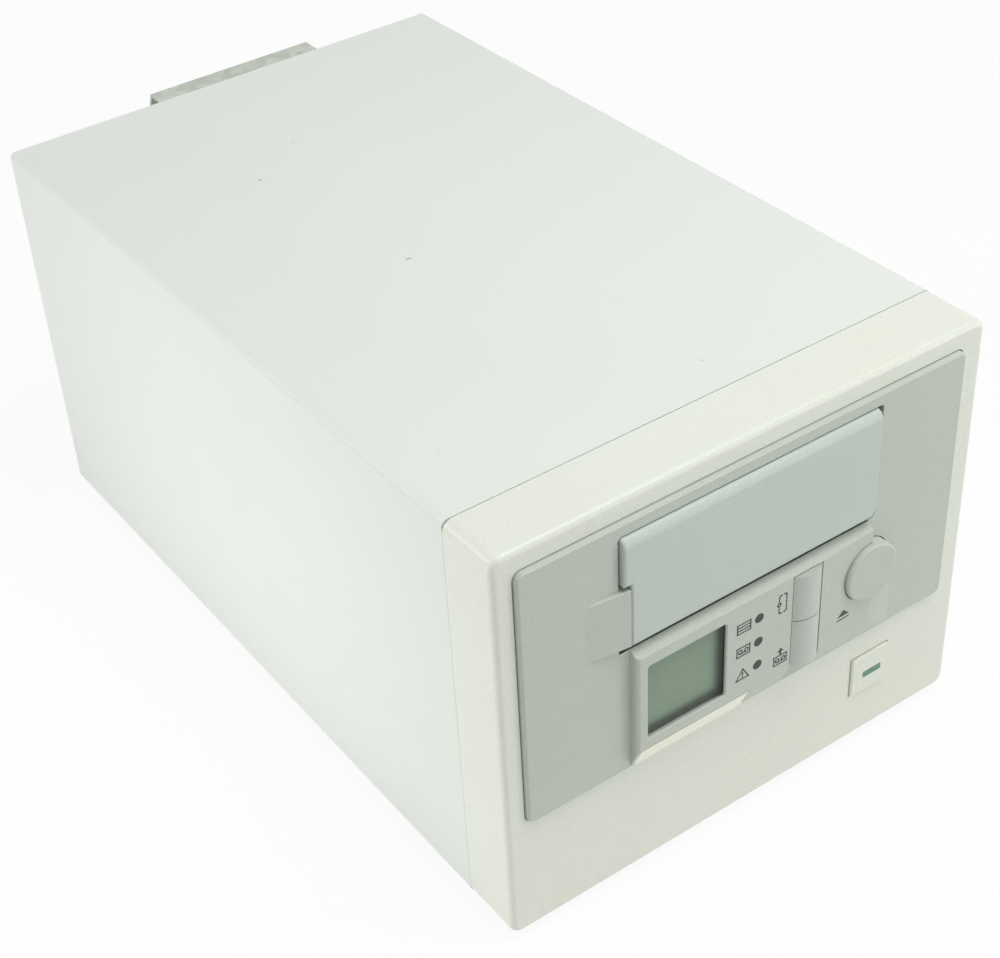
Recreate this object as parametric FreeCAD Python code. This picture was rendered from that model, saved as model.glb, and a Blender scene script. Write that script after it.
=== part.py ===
import FreeCAD, Part
import math
import os

V = FreeCAD.Vector
os.makedirs("parts", exist_ok=True)

# Millimetres. Every piece is drawn with x = 0 on the case's middle, y = 0 on the front bezel's
# face (y grows to the rear) and z = 0 on the sleeve's underside. The last step moves them all
# so that the origin is under the middle of the whole object, on the floor.

# Standard sizes that drive the rest: a 5.25 inch full-height front, a 4 mm tape cartridge, a fan
FASCIA_W = 149.0
FASCIA_H = 84.0
TAPE_W = 73.0
TAPE_D = 54.0
TAPE_H = 10.5
FAN_SIDE = 60.0

# Gaps: FIT round what moves, SEAT behind what is clipped or screwed in place, SNUG round inserts
FIT = 0.3
SEAT = 0.3
SNUG = 0.1
PIN_FIT = 0.05
OVERCUT = 1.0

# Steel case: what stands round the fascia, and the folded sheet
RIM_SIDE = 6.6
RIM_TOP = 6.1
RIM_BOTTOM = 40.9
CASE_REAR = 266.5
SHEET = 1.0
SLEEVE_BEND = 2.0
SLEEVE_LIP = 16.0
SEAM_GAP = 0.6
FOOT_H = 3.0
FOOT_SIDE = 13.0
FOOT_TAPER = 0.8
FOOT_INSET_X = 8.5
FOOT_INSET_Y = 24.0

# Inner sheet metal
TRAY_T = 1.2
TRAY_BEND = 1.5
TRAY_WALL_H = 13.0
TRAY_FRONT_H = 16.0
TRAY_VENTS = 8
TRAY_VENT_W = 4.0
TRAY_VENT_L = 45.0
TRAY_VENT_PITCH = 12.0
TRAY_VENT_Y = 30.0
BRACKET_T = 1.2
BRACKET_FLANGE = 14.0
BRACKET_OUT = 3.0
BRACKET_SETBACK = 9.7
BRACKET_SHORT = 7.0
BRACKET_WINDOWS = 2
BRACKET_RIM = 9.0
BRACKET_WEB = 22.0

# Front bezel
BEZEL_GROW = 0.3
BEZEL_DEPTH = 19.7
BEZEL_WALL = 2.5
BEZEL_FRONT_T = 3.0
BEZEL_CORNER = 3.5
BEZEL_EDGE = 1.8
COLLAR_T = 1.8
COLLAR_BACK = 9.0
RIBS = 4
RIB_T = 1.5
RIB_BACK = 12.0
BOSS_R = 3.6
BOSS_HOLE_R = 1.3
BOSS_HOLE_DEEP = 11.0
BOSS_INSET = 10.5
BOSS_Z = 9.5
TONGUE_W = 16.0
TONGUE_ROOT = 6.0
TONGUE_OUT = 7.0
TONGUE_SINK = 0.6
TONGUE_INSET = 35.5
TONGUE_LOW = 32.0
TONGUE_HIGH = 35.0

# Power key in the bezel
POWER_INSET_X = 33.3
POWER_DROP = 16.7
POWER_SIDE = 14.0
POWER_EDGE = 0.4
POWER_PROUD = 0.8
POWER_TRAVEL = 3.0
POWER_DEEP = 8.2
POWER_RIM = 1.4
POWER_RIM_T = 1.0
POWER_LIGHT_L = 7.0
POWER_LIGHT_H = 2.1
POWER_LIGHT_DEEP = 2.2
POWER_LIGHT_ROUND = 0.4
POWER_LIGHT_DX = 0.85
POWER_LIGHT_DZ = -0.55
POWER_SWITCH = 13.0
POWER_SWITCH_Y = 13.0
POWER_SWITCH_L = 27.0
POWER_COLLAR = 1.5
POWER_COLLAR_T = 1.5
PLUNGER = 6.0
LUG_MARGIN = 6.0
LUG_HEAD = 4.0

# Grey fascia, a little left of the case's middle
FASCIA_MID = -0.8
FASCIA_PROUD = 1.5
FASCIA_BACK = 1.5
FASCIA_CORNER = 2.5
FASCIA_EDGE = 0.7
SKIRT_T = 2.0
SKIRT_BACK = 6.5

# Magazine: two banks of slots back to back
SLOTS = 3
SLOT_H = 10.6
MAG_SHELF = 0.6
MAG_SIDE = 4.8
MAG_BANK_END = 1.8
MAG_CORE = 4.1
MAG_SETBACK = 5.5
TAPE_PLAY = 0.3
TAPE_CORNER = 1.2
TAPE_SINK = 1.0
GRIP_W = 44.0
GRIP_RIM = 2.5
GRIP_DEEP = 0.8

# Flap over the magazine's opening
DOOR_SIDE_ROOM = 3.0
DOOR_HEAD = 3.8
DOOR_FLOOR = 0.8
DOOR_ROOM_Z = 3.5
DOOR_FALL = 2.0
DOOR_GAP = 0.4
DOOR_LEFT_GAP = 0.6
DOOR_RIGHT_GAP = 1.6
DOOR_STEP_GAP = 1.5
DOOR_FOOT_GAP = 2.5
DOOR_FACE = 3.4
DOOR_T = 2.0
DOOR_EDGE = 0.8
DOOR_CORNER_LEFT = 1.4
DOOR_CORNER_RIGHT = 1.2
DOOR_CORNER_LOW = 2.4
DOOR_LIP_H = 1.5
DOOR_LIP_BACK = 0.2
DOOR_NECK = 1.4
DOOR_PIN_Y = -0.6
DOOR_PIN_R = 0.6
DOOR_PIN_L = 7.5
DOOR_PIN_SUNK = 4.0
DOOR_PIN_PRESS = 0.02
KNUCKLE_R = 1.3
KNUCKLE_L = 2.2
RETURN_T = 1.3
RETURN_BACK = 0.9
STOP_W = 2.2
STOP_T = 2.0
STOP_ROOT = 1.5
STOP_H = 3.4
STOP_DROP = 3.1
KEY_STEP = 2.6
KEY_RISE = 2.8
KEY_H = 18.4
KEY_GAP = 0.3
TAB_LEN = 13.2
TAB_PROUD = 1.9
TAB_EDGE = 0.6
RIB_KEY_H = 4.4

# Control pod: a raised field with a bevel above, a slope below and a face that falls to the right
POD_X0 = -41.6
POD_RISE = 7.5
POD_HEAD = 0.1
POD_FACE = 4.4
POD_BEVEL = 2.2
POD_TOE = 1.0
POD_WALL = 2.0
POD_END_FACE = 3.7
POD_END_PAST = 1.7
POD_STEP_PAST = 0.7
POD_EDGE = 1.5
CAVITY_PAST = 3.7
CAVITY_HEAD = 4.3

# Display, lights and keys in the pod, set out from its left end; they make the pod's width
LCD_INSET = 3.7
LCD_W = 26.4
LCD_RISE = 3.3
LCD_HEAD = 6.1
LCD_CORNER = 0.8
LCD_CHAMFER = 0.3
LCD_WALL = 0.8
LCD_MARGIN = 1.4
WINDOW_T = 1.2
GLASS_T = 2.0
MODULE_CORNER = 1.0
SILL_INSET = 1.3
SILL_SHORT = 2.3
LIGHT_R = 1.45
LIGHT_INSET = 9.85
LIGHT_PITCH = 8.3
KEY_INSET = 10.35
KEY_W = 10.7
KEY_HEAD = 2.4
KEY_SPLIT_UP = 0.5
KEY_BULGE = 1.9
KEY_ROUND = 1.8
KEY_TRAVEL = 1.2
KEY_RIM = 1.1
KEY_RIM_T = 1.0
KEY_BODY_BACK = 1.0
KEY_STEM = 4.0
EJECT_INSET = 9.1
EJECT_R = 9.2
EJECT_RIGHT = 2.2
EJECT_UP = 3.15
EJECT_FACE = 5.5
EJECT_EDGE = 0.6
EJECT_RIM = 1.4
EJECT_TRAVEL = 1.5
BOARD_Y = 8.0
BOARD_T = 1.6
BOARD_MARGIN = 2.0
BOARD_BOSS = 4.0
BOARD_BOSS_INSET = 4.6
BOARD_BOSS_UP = 2.5
SWITCH_SIDE = 6.0
SWITCH_TIP_Y = 4.7
SWITCH_TIP = 3.0
SWITCH_TIP_OUT = 0.7

# Loader frame and lift
FRAME_NARROW = 1.5
FRAME_T = 1.2
FRAME_RISE = 1.1
FRAME_HEAD = 1.3
FRAME_SHORT = 34.5
FRAME_WINDOW_FOOT = 16.0
FRAME_WINDOW_HEAD = 17.6
FRAME_WEB = 10.0
LIFT_INSET = 15.0
LIFT_Y = 70.0
LIFT_R = 3.0
LIFT_NECK = 1.0
LIFT_T = 1.6
LIFT_LEDGE = 4.0
LIFT_WALL_T = 1.2
LIFT_WALL_H = 10.0
LIFT_WINDOW_X = 22.0
LIFT_WINDOW_Y = 20.0
LUG_W = 20.0
LUG_OUT = 8.0
LUG_DROP = 4.2
LUG_RISE = 5.8
EAR_DROP = 4.6
EAR_IN = 6.0
EAR_HALF = 9.0
MOTOR_HALF = 10.0
MOTOR_H = 11.0
MOTOR_CORNER = 2.5
MOTOR_FOOT = 16.0
MOTOR_FOOT_T = 1.2

# Tape deck and boards
DECK_W = 102.0
DECK_SETBACK = 6.0
DECK_SHORT = 1.0
DECK_RISE = 16.8
DECK_H = 41.5
DECK_ROUND = 1.5
DECK_MOUTH = 1.0
DECK_MOUTH_DEEP = 16.0
DECK_PANEL_RIM = 8.0
DECK_PANEL_SINK = 0.8
POST_R = 3.0
POST_INSET = 8.0
MAIN_RISE = 5.0
MAIN_CLEAR = 1.0
MAIN_Y = 20.0
MAIN_L = 106.0
CHIP_H = 3.0
CHIP_BIG = 26.0
CHIP_SMALL = 18.0
CHIP_INSET_X = 17.0
CHIP_INSET_Y = 30.0
CHIP_ROW = 42.0

# Power supply
SUPPLY_RISE = 6.0
SUPPLY_INSET_X = 21.2
SUPPLY_INSET_Y = 30.5
SUPPLY_L = 127.0
CORE_W = 40.0
CORE_L = 36.0
CORE_H = 26.0
CORE_INSET_X = 14.0
CORE_INSET_Y = 35.0
COIL_NARROW = 8.0
COIL_PAST = 8.0
COIL_INSET_Z = 4.0
COIL_ROUND = 4.0
CAN_R = 11.0
CAN_H = 27.0
CAN_PITCH = 26.0
CAN_INSET = 18.0
CAN_BACK = 26.0
SINK_FINS = 6
SINK_PITCH = 6.0
SINK_FIN_T = 2.0
SINK_BASE = 4.0
SINK_H = 25.0
SINK_L = 44.0
SINK_Y = 23.0

# Rear panel and hood
REAR_INSET = 3.7
REAR_T = 1.2
REAR_FLANGE = 9.0
FLANGE_RISE = 1.0
HOOD_FROM_LEFT = 59.1
HOOD_W = 62.5
HOOD_HEAD = 4.5
HOOD_OUT = 19.0
HOOD_DROP = 16.0
HOOD_LEAN = 6.8
HOOD_FLANGE = 6.0
SIDE_VENTS = 6
SIDE_VENT_W = 4.0
SIDE_VENT_L = 18.0
SIDE_VENT_PITCH = 9.5
SIDE_VENT_INSET = 9.2
SIDE_VENT_HEAD = 19.0

# Fan, its punched guard in the rear panel
FAN_DEPTH = 25.0
FAN_HEAD = 41.0
FAN_WALL = 1.5
FAN_CORNER = 4.0
FAN_HUB_R = 13.0
FAN_BLADES = 5
FAN_BLADE_T = 1.4
FAN_PITCH_DEG = 42.0
FAN_TIP_GAP = 3.2
FAN_BASE_T = 3.0
FAN_STRUT = 3.0
FAN_SETBACK = 2.0
GUARD_SLOTS = 7
GUARD_PITCH = 7.4
GUARD_SLOT_W = 4.6
GUARD_R = 27.5

# Mains inlet
INLET_INSET = 29.1
INLET_Z = 22.0
INLET_W = 27.0
INLET_H = 19.5
INLET_DEEP = 26.0
INLET_FLANGE_W = 48.0
INLET_FLANGE_H = 22.5
INLET_FLANGE_T = 2.5
INLET_FLANGE_CUT = 4.0
INLET_HOLE_PITCH = 40.0
INLET_HOLE_R = 1.7
INLET_WALL_X = 1.5
INLET_WALL_Z = 1.75
INLET_CHAMFER = 4.5
INLET_SOCKET = 13.0
BLADE_SUNK = 3.0
BLADE_T = 2.0
BLADE_H = 4.0
BLADE_X = 7.0
BLADE_Z = 2.0

# Bus sockets and address switch
SOCKET_INSET = 32.6
SOCKET_HEADS = (49.0, 73.0)
SOCKET_W = 46.0
SOCKET_H = 9.0
SOCKET_OUT = 6.0
SOCKET_EAR = 6.5
SOCKET_RIM = 2.0
SOCKET_PLATE_T = 1.0
SOCKET_WALL = 0.8
SOCKET_SLANT = 2.5
SOCKET_SINK = 1.5
SOCKET_SLOT_H = 1.6
SOCKET_SLOT_DEEP = 4.0
SOCKET_FOOT = 12.0
ID_HEAD = 21.0
ID_W = 30.0
ID_H = 20.0
ID_RIM = 2.0
ID_FLANGE_T = 1.5
ID_DEEP = 15.0
ID_FLATS = 10
ID_WHEEL_R = 6.3
ID_WHEEL_W = 4.0
ID_WHEEL_SUNK = 6.0
ID_AXLE_R = 1.0
ID_AXLE_L = 2.0
ID_SIGHT = 6.4
ID_KEY = 4.4
ID_KEY_PITCH = 10.0
ID_KEY_OUT = 1.4
ID_KEY_DEEP = 8.0
ID_KEY_TRAVEL = 1.2

# Values that follow from the ones above: case and rear
CASE_W = FASCIA_W + 2 * RIM_SIDE
CASE_H = RIM_BOTTOM + FASCIA_H + RIM_TOP
HALF_W = CASE_W / 2
SLEEVE_FRONT = BEZEL_DEPTH + SEAM_GAP
REAR_Y = CASE_REAR - REAR_INSET
REAR_FACE = REAR_Y + REAR_T
TRAY_HALF = HALF_W - SHEET - SEAT
TRAY_TOP = SHEET + TRAY_T
TRAY_FRONT = SLEEVE_FRONT + SNUG
POWER_X = HALF_W - POWER_INSET_X
POWER_Z = RIM_BOTTOM - POWER_DROP
HOOD_X0 = HOOD_FROM_LEFT - HALF_W
HOOD_TOP = CASE_H - HOOD_HEAD
HOOD_BACK = REAR_FACE + HOOD_OUT + HOOD_LEAN
FAN_X = HOOD_X0 + HOOD_W / 2
FAN_Z = CASE_H - FAN_HEAD
FAN_BORE_R = FAN_SIDE / 2 - FAN_WALL
INLET_X = INLET_INSET - HALF_W
SOCKET_X = SOCKET_INSET - HALF_W
ID_Z = CASE_H - ID_HEAD

# Fascia, flap and magazine
FASCIA_HALF = FASCIA_W / 2
FASCIA_X0 = FASCIA_MID - FASCIA_HALF
FASCIA_X1 = FASCIA_MID + FASCIA_HALF
FASCIA_Z0 = RIM_BOTTOM
FASCIA_Z1 = FASCIA_Z0 + FASCIA_H
MAG_W = TAPE_W + 2 * MAG_SIDE
MAG_H = SLOTS * SLOT_H + (SLOTS + 1) * MAG_SHELF
MAG_L = 2 * (TAPE_D + MAG_BANK_END) + MAG_CORE
MAG_X0 = FASCIA_MID - MAG_W / 2
MAG_X1 = FASCIA_MID + MAG_W / 2
DOOR_X0 = MAG_X0 - DOOR_SIDE_ROOM
DOOR_X1 = MAG_X1 + DOOR_SIDE_ROOM
DOOR_Z1 = FASCIA_Z1 - DOOR_HEAD
DOOR_Z0 = DOOR_Z1 - MAG_H - DOOR_ROOM_Z
DOOR_ROUND = DOOR_FACE + DOOR_PIN_Y
DOOR_PIN_Z = DOOR_Z1 - DOOR_GAP - DOOR_ROUND
MAG_Z0 = DOOR_Z0 + DOOR_FLOOR
MAG_Z1 = MAG_Z0 + MAG_H
KEY_X = DOOR_X0 + KEY_STEP
KEY_Z0 = DOOR_Z0 + KEY_RISE
KEY_Z1 = KEY_Z0 + KEY_H

# Pod, with its display, lights and keys
POD_Z0 = FASCIA_Z0 + POD_RISE
POD_Z1 = DOOR_Z0 - POD_HEAD
POD_MID = (POD_Z0 + POD_Z1 - POD_BEVEL) / 2
LCD_X0 = POD_X0 + LCD_INSET
LCD_X1 = LCD_X0 + LCD_W
LCD_Z0 = POD_Z0 + LCD_RISE
LCD_Z1 = POD_Z1 - LCD_HEAD
LIGHT_X = LCD_X1 + LIGHT_INSET + LIGHT_R
RUN_KEY_X0 = LIGHT_X + LIGHT_R + KEY_INSET
RUN_KEY_X1 = RUN_KEY_X0 + KEY_W
RUN_KEY_Z1 = POD_Z1 - KEY_HEAD
RUN_KEY_SPLIT = (POD_Z0 + RUN_KEY_Z1) / 2 + KEY_SPLIT_UP
EJECT_X = RUN_KEY_X1 + EJECT_INSET + EJECT_R
EJECT_Z = POD_MID + EJECT_UP
POD_X1 = EJECT_X + EJECT_R + EJECT_RIGHT
CAVITY_X1 = RUN_KEY_X1 + CAVITY_PAST
CAVITY_Y0 = POD_WALL - POD_FACE
CAVITY_Z0 = LCD_Z0 - LCD_MARGIN - SEAT
CAVITY_Z1 = POD_Z1 - CAVITY_HEAD

# Loader frame and deck
FRAME_HALF = FASCIA_HALF - FRAME_NARROW
FRAME_FRONT = SKIRT_BACK + SEAT
FRAME_BACK = CASE_REAR - FRAME_SHORT
FRAME_Z0 = FASCIA_Z0 + FRAME_RISE
FRAME_Z1 = FASCIA_Z1 - FRAME_HEAD
FRAME_FLOOR = FRAME_Z0 + FRAME_T
MAG_Y0 = FRAME_FRONT + MAG_SETBACK
MAG_Y1 = MAG_Y0 + MAG_L
LIFT_X = FRAME_HALF - LIFT_INSET
EAR_Z = FRAME_Z1 - EAR_DROP
DECK_Y0 = MAG_Y1 + DECK_SETBACK
DECK_Y1 = FRAME_BACK - DECK_SHORT
DECK_Z0 = FRAME_FLOOR + DECK_RISE

FRONT_REACH = POD_FACE + KEY_BULGE
TO_FLOOR = V(0, (FRONT_REACH - HOOD_BACK) / 2, FOOT_H)


def box(x0, x1, y0, y1, z0, z1):
    low = V(min(x0, x1), min(y0, y1), min(z0, z1))
    return Part.makeBox(abs(x1 - x0), abs(y1 - y0), abs(z1 - z0), low)


def rod_x(y, z, r, x0, x1):
    return Part.makeCylinder(r, x1 - x0, V(x0, y, z), V(1, 0, 0))


def rod_y(x, z, r, y0, y1):
    return Part.makeCylinder(r, y1 - y0, V(x, y0, z), V(0, 1, 0))


def rod_z(x, y, r, z0, z1):
    return Part.makeCylinder(r, z1 - z0, V(x, y, z0), V(0, 0, 1))


def prism(points, run):
    return Part.Face(Part.makePolygon(points + [points[0]])).extrude(run)


def prism_x(yz, x0, x1):
    return prism([V(x0, y, z) for y, z in yz], V(x1 - x0, 0, 0))


def prism_y(xz, y0, y1):
    return prism([V(x, y0, z) for x, z in xz], V(0, y1 - y0, 0))


def prism_z(xy, z0, z1):
    return prism([V(x, y, z0) for x, y in xy], V(0, 0, z1 - z0))


def square_z(x, y, half, z):
    corners = [V(x + i * half, y + j * half, z) for i, j in ((-1, -1), (1, -1), (1, 1), (-1, 1))]
    return Part.makePolygon(corners + [corners[0]])


def hex_post(x, y, r, z0, z1):
    corners = [math.radians(60 * k) for k in range(6)]
    return prism_z([(x + r * math.cos(a), y + r * math.sin(a)) for a in corners], z0, z1)


def join(first, *others):
    return first.fuse(list(others)).removeSplitter()


def cut(shape, *tools):
    return shape.cut(list(tools)).removeSplitter()


def edges_along(solid, axis):
    found = []
    for edge in solid.Edges:
        run = edge.Vertexes[-1].Point.sub(edge.Vertexes[0].Point)
        if run.Length > 1e-6 and abs(run.dot(axis)) > run.Length * 0.9999:
            found.append(edge)
    return found


def rounded(axis, r, x0, x1, y0, y1, z0, z1):
    solid = box(x0, x1, y0, y1, z0, z1)
    return solid.makeFillet(r, edges_along(solid, axis))


def slab_y(x, z, half_x, half_z, y0, y1):
    return box(x - half_x, x + half_x, y0, y1, z - half_z, z + half_z)


def round_y(x, z, half_x, half_z, y0, y1, r):
    return rounded(ALONG_Y, r, x - half_x, x + half_x, y0, y1, z - half_z, z + half_z)


def front_rim(solid, y):
    return [edge for edge in solid.Edges if edge.BoundBox.YMax < y + 1e-4]


ALONG_Y = V(0, 1, 0)
ALONG_Z = V(0, 0, 1)
SIDES = (-1, 1)
nodes = {}

# The sleeve is one sheet folded into the top, both sides and two lips that turn in underneath.
sleeve = rounded(ALONG_Y, SLEEVE_BEND, -HALF_W, HALF_W, SLEEVE_FRONT, CASE_REAR, 0, CASE_H)
hollow = rounded(ALONG_Y, SLEEVE_BEND - SHEET, SHEET - HALF_W, HALF_W - SHEET,
                 SLEEVE_FRONT - OVERCUT, CASE_REAR + OVERCUT, SHEET, CASE_H - SHEET)
mouth = box(SLEEVE_LIP - HALF_W, HALF_W - SLEEVE_LIP, SLEEVE_FRONT - OVERCUT, CASE_REAR + OVERCUT,
            -OVERCUT, SHEET + OVERCUT)
nodes["sleeve_cover"] = cut(sleeve, hollow, mouth)

feet = []
for side in SIDES:
    for y in (SLEEVE_FRONT + FOOT_INSET_Y, CASE_REAR - FOOT_INSET_Y):
        x = side * (HALF_W - FOOT_INSET_X)
        pad = [square_z(x, y, FOOT_SIDE / 2 - FOOT_TAPER, -FOOT_H), square_z(x, y, FOOT_SIDE / 2, 0)]
        feet.append(Part.makeLoft(pad, True))
nodes["rubber_feet"] = Part.makeCompound(feet)

# Base tray: floor on the sleeve's lips, low side walls, front wall with a lug for the switch.
tray_back = REAR_Y - SEAT
tray_rim = SHEET + TRAY_WALL_H
tray = box(-TRAY_HALF, TRAY_HALF, TRAY_FRONT, tray_back, SHEET, tray_rim)
bends = [edge for edge in edges_along(tray, ALONG_Y) if edge.BoundBox.ZMax < TRAY_TOP]
tray = tray.makeFillet(TRAY_BEND, bends)
tray = cut(tray, box(TRAY_T - TRAY_HALF, TRAY_HALF - TRAY_T, TRAY_FRONT - OVERCUT, tray_back + OVERCUT,
                     TRAY_TOP, tray_rim + OVERCUT))
front_wall = box(TRAY_T - TRAY_HALF, TRAY_HALF - TRAY_T, TRAY_FRONT, TRAY_FRONT + TRAY_T,
                 SHEET, SHEET + TRAY_FRONT_H)
lug_half = POWER_SWITCH / 2 + LUG_MARGIN
lug = box(POWER_X - lug_half, POWER_X + lug_half, TRAY_FRONT, TRAY_FRONT + TRAY_T,
          SHEET, POWER_Z + POWER_SWITCH / 2 + LUG_HEAD)
hole_half = POWER_SWITCH / 2 + SNUG
switch_hole = slab_y(POWER_X, POWER_Z, hole_half, hole_half, TRAY_FRONT - OVERCUT,
                     TRAY_FRONT + TRAY_T + OVERCUT)
vents = []
vent_y = TRAY_FRONT + TRAY_VENT_Y
for k in range(TRAY_VENTS):
    x = (k - (TRAY_VENTS - 1) / 2) * TRAY_VENT_PITCH
    vents.append(box(x - TRAY_VENT_W / 2, x + TRAY_VENT_W / 2, vent_y, vent_y + TRAY_VENT_L,
                     0, TRAY_TOP + OVERCUT))
nodes["base_tray"] = cut(join(tray, front_wall, lug), switch_hole, *vents)

# Brackets that carry the loader above the power supply, one folded channel on each side.
bracket_x = FRAME_HALF + BRACKET_OUT
bracket_y0 = TRAY_FRONT + BRACKET_SETBACK
bracket_y1 = FRAME_BACK - BRACKET_SHORT
bay = (bracket_y1 - bracket_y0) / BRACKET_WINDOWS
windows = []
for k in range(BRACKET_WINDOWS):
    y = bracket_y0 + k * bay
    windows.append(box(-HALF_W, HALF_W, y + BRACKET_WEB / 2, y + bay - BRACKET_WEB / 2,
                       TRAY_TOP + BRACKET_RIM, FRAME_Z0 - BRACKET_RIM))
brackets = []
for side in SIDES:
    outer = side * bracket_x
    reach = side * (bracket_x - BRACKET_FLANGE)
    upright = box(outer, side * (bracket_x - BRACKET_T), bracket_y0, bracket_y1, TRAY_TOP, FRAME_Z0)
    low = box(outer, reach, bracket_y0, bracket_y1, TRAY_TOP, TRAY_TOP + BRACKET_T)
    high = box(outer, reach, bracket_y0, bracket_y1, FRAME_Z0 - BRACKET_T, FRAME_Z0)
    brackets.append(cut(join(upright, low, high), *windows))
nodes["loader_brackets"] = Part.makeCompound(brackets)

# Front bezel: a moulded shell with a window and collar for the fascia, ribs, bosses and tongues.
bezel_half = HALF_W + BEZEL_GROW
bezel_top = CASE_H + BEZEL_GROW
bezel = rounded(ALONG_Y, BEZEL_CORNER, -bezel_half, bezel_half, 0, BEZEL_DEPTH, 0, bezel_top)
bezel = bezel.makeFillet(BEZEL_EDGE, front_rim(bezel, 0))
inside = bezel_half - BEZEL_WALL
bezel = cut(bezel, box(-inside, inside, BEZEL_FRONT_T, BEZEL_DEPTH + OVERCUT, BEZEL_WALL,
                       bezel_top - BEZEL_WALL))
win_x0 = FASCIA_X0 - FIT
win_x1 = FASCIA_X1 + FIT
win_z0 = FASCIA_Z0 - FIT
win_z1 = FASCIA_Z1 + FIT
root_y = BEZEL_FRONT_T - OVERCUT
collar = rounded(ALONG_Y, FASCIA_CORNER + COLLAR_T, win_x0 - COLLAR_T, win_x1 + COLLAR_T, root_y,
                 COLLAR_BACK, win_z0 - COLLAR_T, win_z1 + COLLAR_T)
ribs = []
rib_step = (POWER_X - POWER_SIDE + HALF_W - BOSS_INSET) / (RIBS + 1)
for k in range(RIBS):
    x = BOSS_INSET - HALF_W + (k + 1) * rib_step
    ribs.append(box(x, x + RIB_T, root_y, RIB_BACK, BEZEL_WALL - OVERCUT, win_z0))
bosses = []
boss_holes = []
tongues = []
tongue_y0 = BEZEL_DEPTH - TONGUE_ROOT
tongue_y1 = BEZEL_DEPTH + TONGUE_OUT
for side in SIDES:
    boss_x = side * (HALF_W - BOSS_INSET)
    boss_back = TRAY_FRONT - SEAT
    bosses.append(rod_y(boss_x, BOSS_Z, BOSS_R, root_y, boss_back))
    boss_holes.append(rod_y(boss_x, BOSS_Z, BOSS_HOLE_R, boss_back - BOSS_HOLE_DEEP, boss_back + OVERCUT))
    x = side * (HALF_W - TONGUE_INSET)
    tongues.append(box(x - TONGUE_W / 2, x + TONGUE_W / 2, tongue_y0, tongue_y1,
                       bezel_top - BEZEL_WALL - TONGUE_SINK, CASE_H - SHEET - SEAT))
    for z in (TONGUE_LOW, CASE_H - TONGUE_HIGH):
        tongues.append(box(side * (HALF_W - SHEET - SEAT), side * (bezel_half - BEZEL_WALL - TONGUE_SINK),
                           tongue_y0, tongue_y1, z - TONGUE_W / 2, z + TONGUE_W / 2))
bezel = join(bezel, collar, *(ribs + bosses + tongues))
window = rounded(ALONG_Y, FASCIA_CORNER + FIT, win_x0, win_x1, -OVERCUT, BEZEL_DEPTH, win_z0, win_z1)
hole_half = POWER_SIDE / 2 + FIT
power_hole = slab_y(POWER_X, POWER_Z, hole_half, hole_half, -OVERCUT, BEZEL_DEPTH)
nodes["front_bezel"] = cut(bezel, window, power_hole, *boss_holes)

# Power key: square cap with a slot for its light, held by a rim behind the bezel's wall.
cap_half = POWER_SIDE / 2
cap = slab_y(POWER_X, POWER_Z, cap_half, cap_half, -POWER_PROUD, POWER_DEEP)
cap = cap.makeChamfer(POWER_EDGE, edges_along(cap, ALONG_Y) + front_rim(cap, -POWER_PROUD))
rim_half = cap_half + POWER_RIM
rim_y = BEZEL_FRONT_T + FIT
rim = slab_y(POWER_X, POWER_Z, rim_half, rim_half, rim_y, rim_y + POWER_RIM_T)


def power_bar(grow, front):
    return round_y(POWER_X + POWER_LIGHT_DX, POWER_Z + POWER_LIGHT_DZ, POWER_LIGHT_L / 2 + grow,
                   POWER_LIGHT_H / 2 + grow, front, POWER_LIGHT_DEEP, POWER_LIGHT_ROUND + grow)


nodes["power_button"] = cut(join(cap, rim), power_bar(SNUG, -POWER_PROUD - OVERCUT))
nodes["power_light"] = power_bar(0, -POWER_PROUD)
switch_half = POWER_SWITCH / 2
collar_half = switch_half + POWER_COLLAR
collar_y = TRAY_FRONT - SEAT
switch_body = slab_y(POWER_X, POWER_Z, switch_half, switch_half, POWER_SWITCH_Y,
                     POWER_SWITCH_Y + POWER_SWITCH_L)
switch_collar = slab_y(POWER_X, POWER_Z, collar_half, collar_half, collar_y - POWER_COLLAR_T, collar_y)
plunger = slab_y(POWER_X, POWER_Z, PLUNGER / 2, PLUNGER / 2, POWER_DEEP + POWER_TRAVEL + FIT,
                 POWER_SWITCH_Y + OVERCUT)
nodes["power_switch"] = join(switch_body, switch_collar, plunger)

# Grey fascia: shallow pan, ramped key tab beside the flap, raised control pod.
plate = rounded(ALONG_Y, FASCIA_CORNER, FASCIA_X0, FASCIA_X1, -FASCIA_PROUD, FASCIA_BACK,
                FASCIA_Z0, FASCIA_Z1)
plate = plate.makeChamfer(FASCIA_EDGE, front_rim(plate, -FASCIA_PROUD))
skirt = rounded(ALONG_Y, FASCIA_CORNER, FASCIA_X0, FASCIA_X1, FASCIA_BACK, SKIRT_BACK,
                FASCIA_Z0, FASCIA_Z1)
skirt = cut(skirt, box(FASCIA_X0 + SKIRT_T, FASCIA_X1 - SKIRT_T, 0, SKIRT_BACK + OVERCUT,
                       FASCIA_Z0 + SKIRT_T, FASCIA_Z1 - SKIRT_T))
toe_z = FASCIA_Z0 + POD_TOE
pod = prism_z([(POD_X0, 0), (POD_X0, -POD_FACE), (RUN_KEY_X1, -POD_FACE),
               (EJECT_X + POD_END_PAST, -POD_END_FACE), (POD_X1, -FASCIA_PROUD), (POD_X1, 0)], toe_z, POD_Z1)
left_edge = [edge for edge in edges_along(pod, ALONG_Z)
             if edge.BoundBox.XMax < POD_X0 + SNUG and edge.BoundBox.YMax < -FASCIA_PROUD]
pod = pod.makeFillet(POD_EDGE, left_edge)
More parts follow.
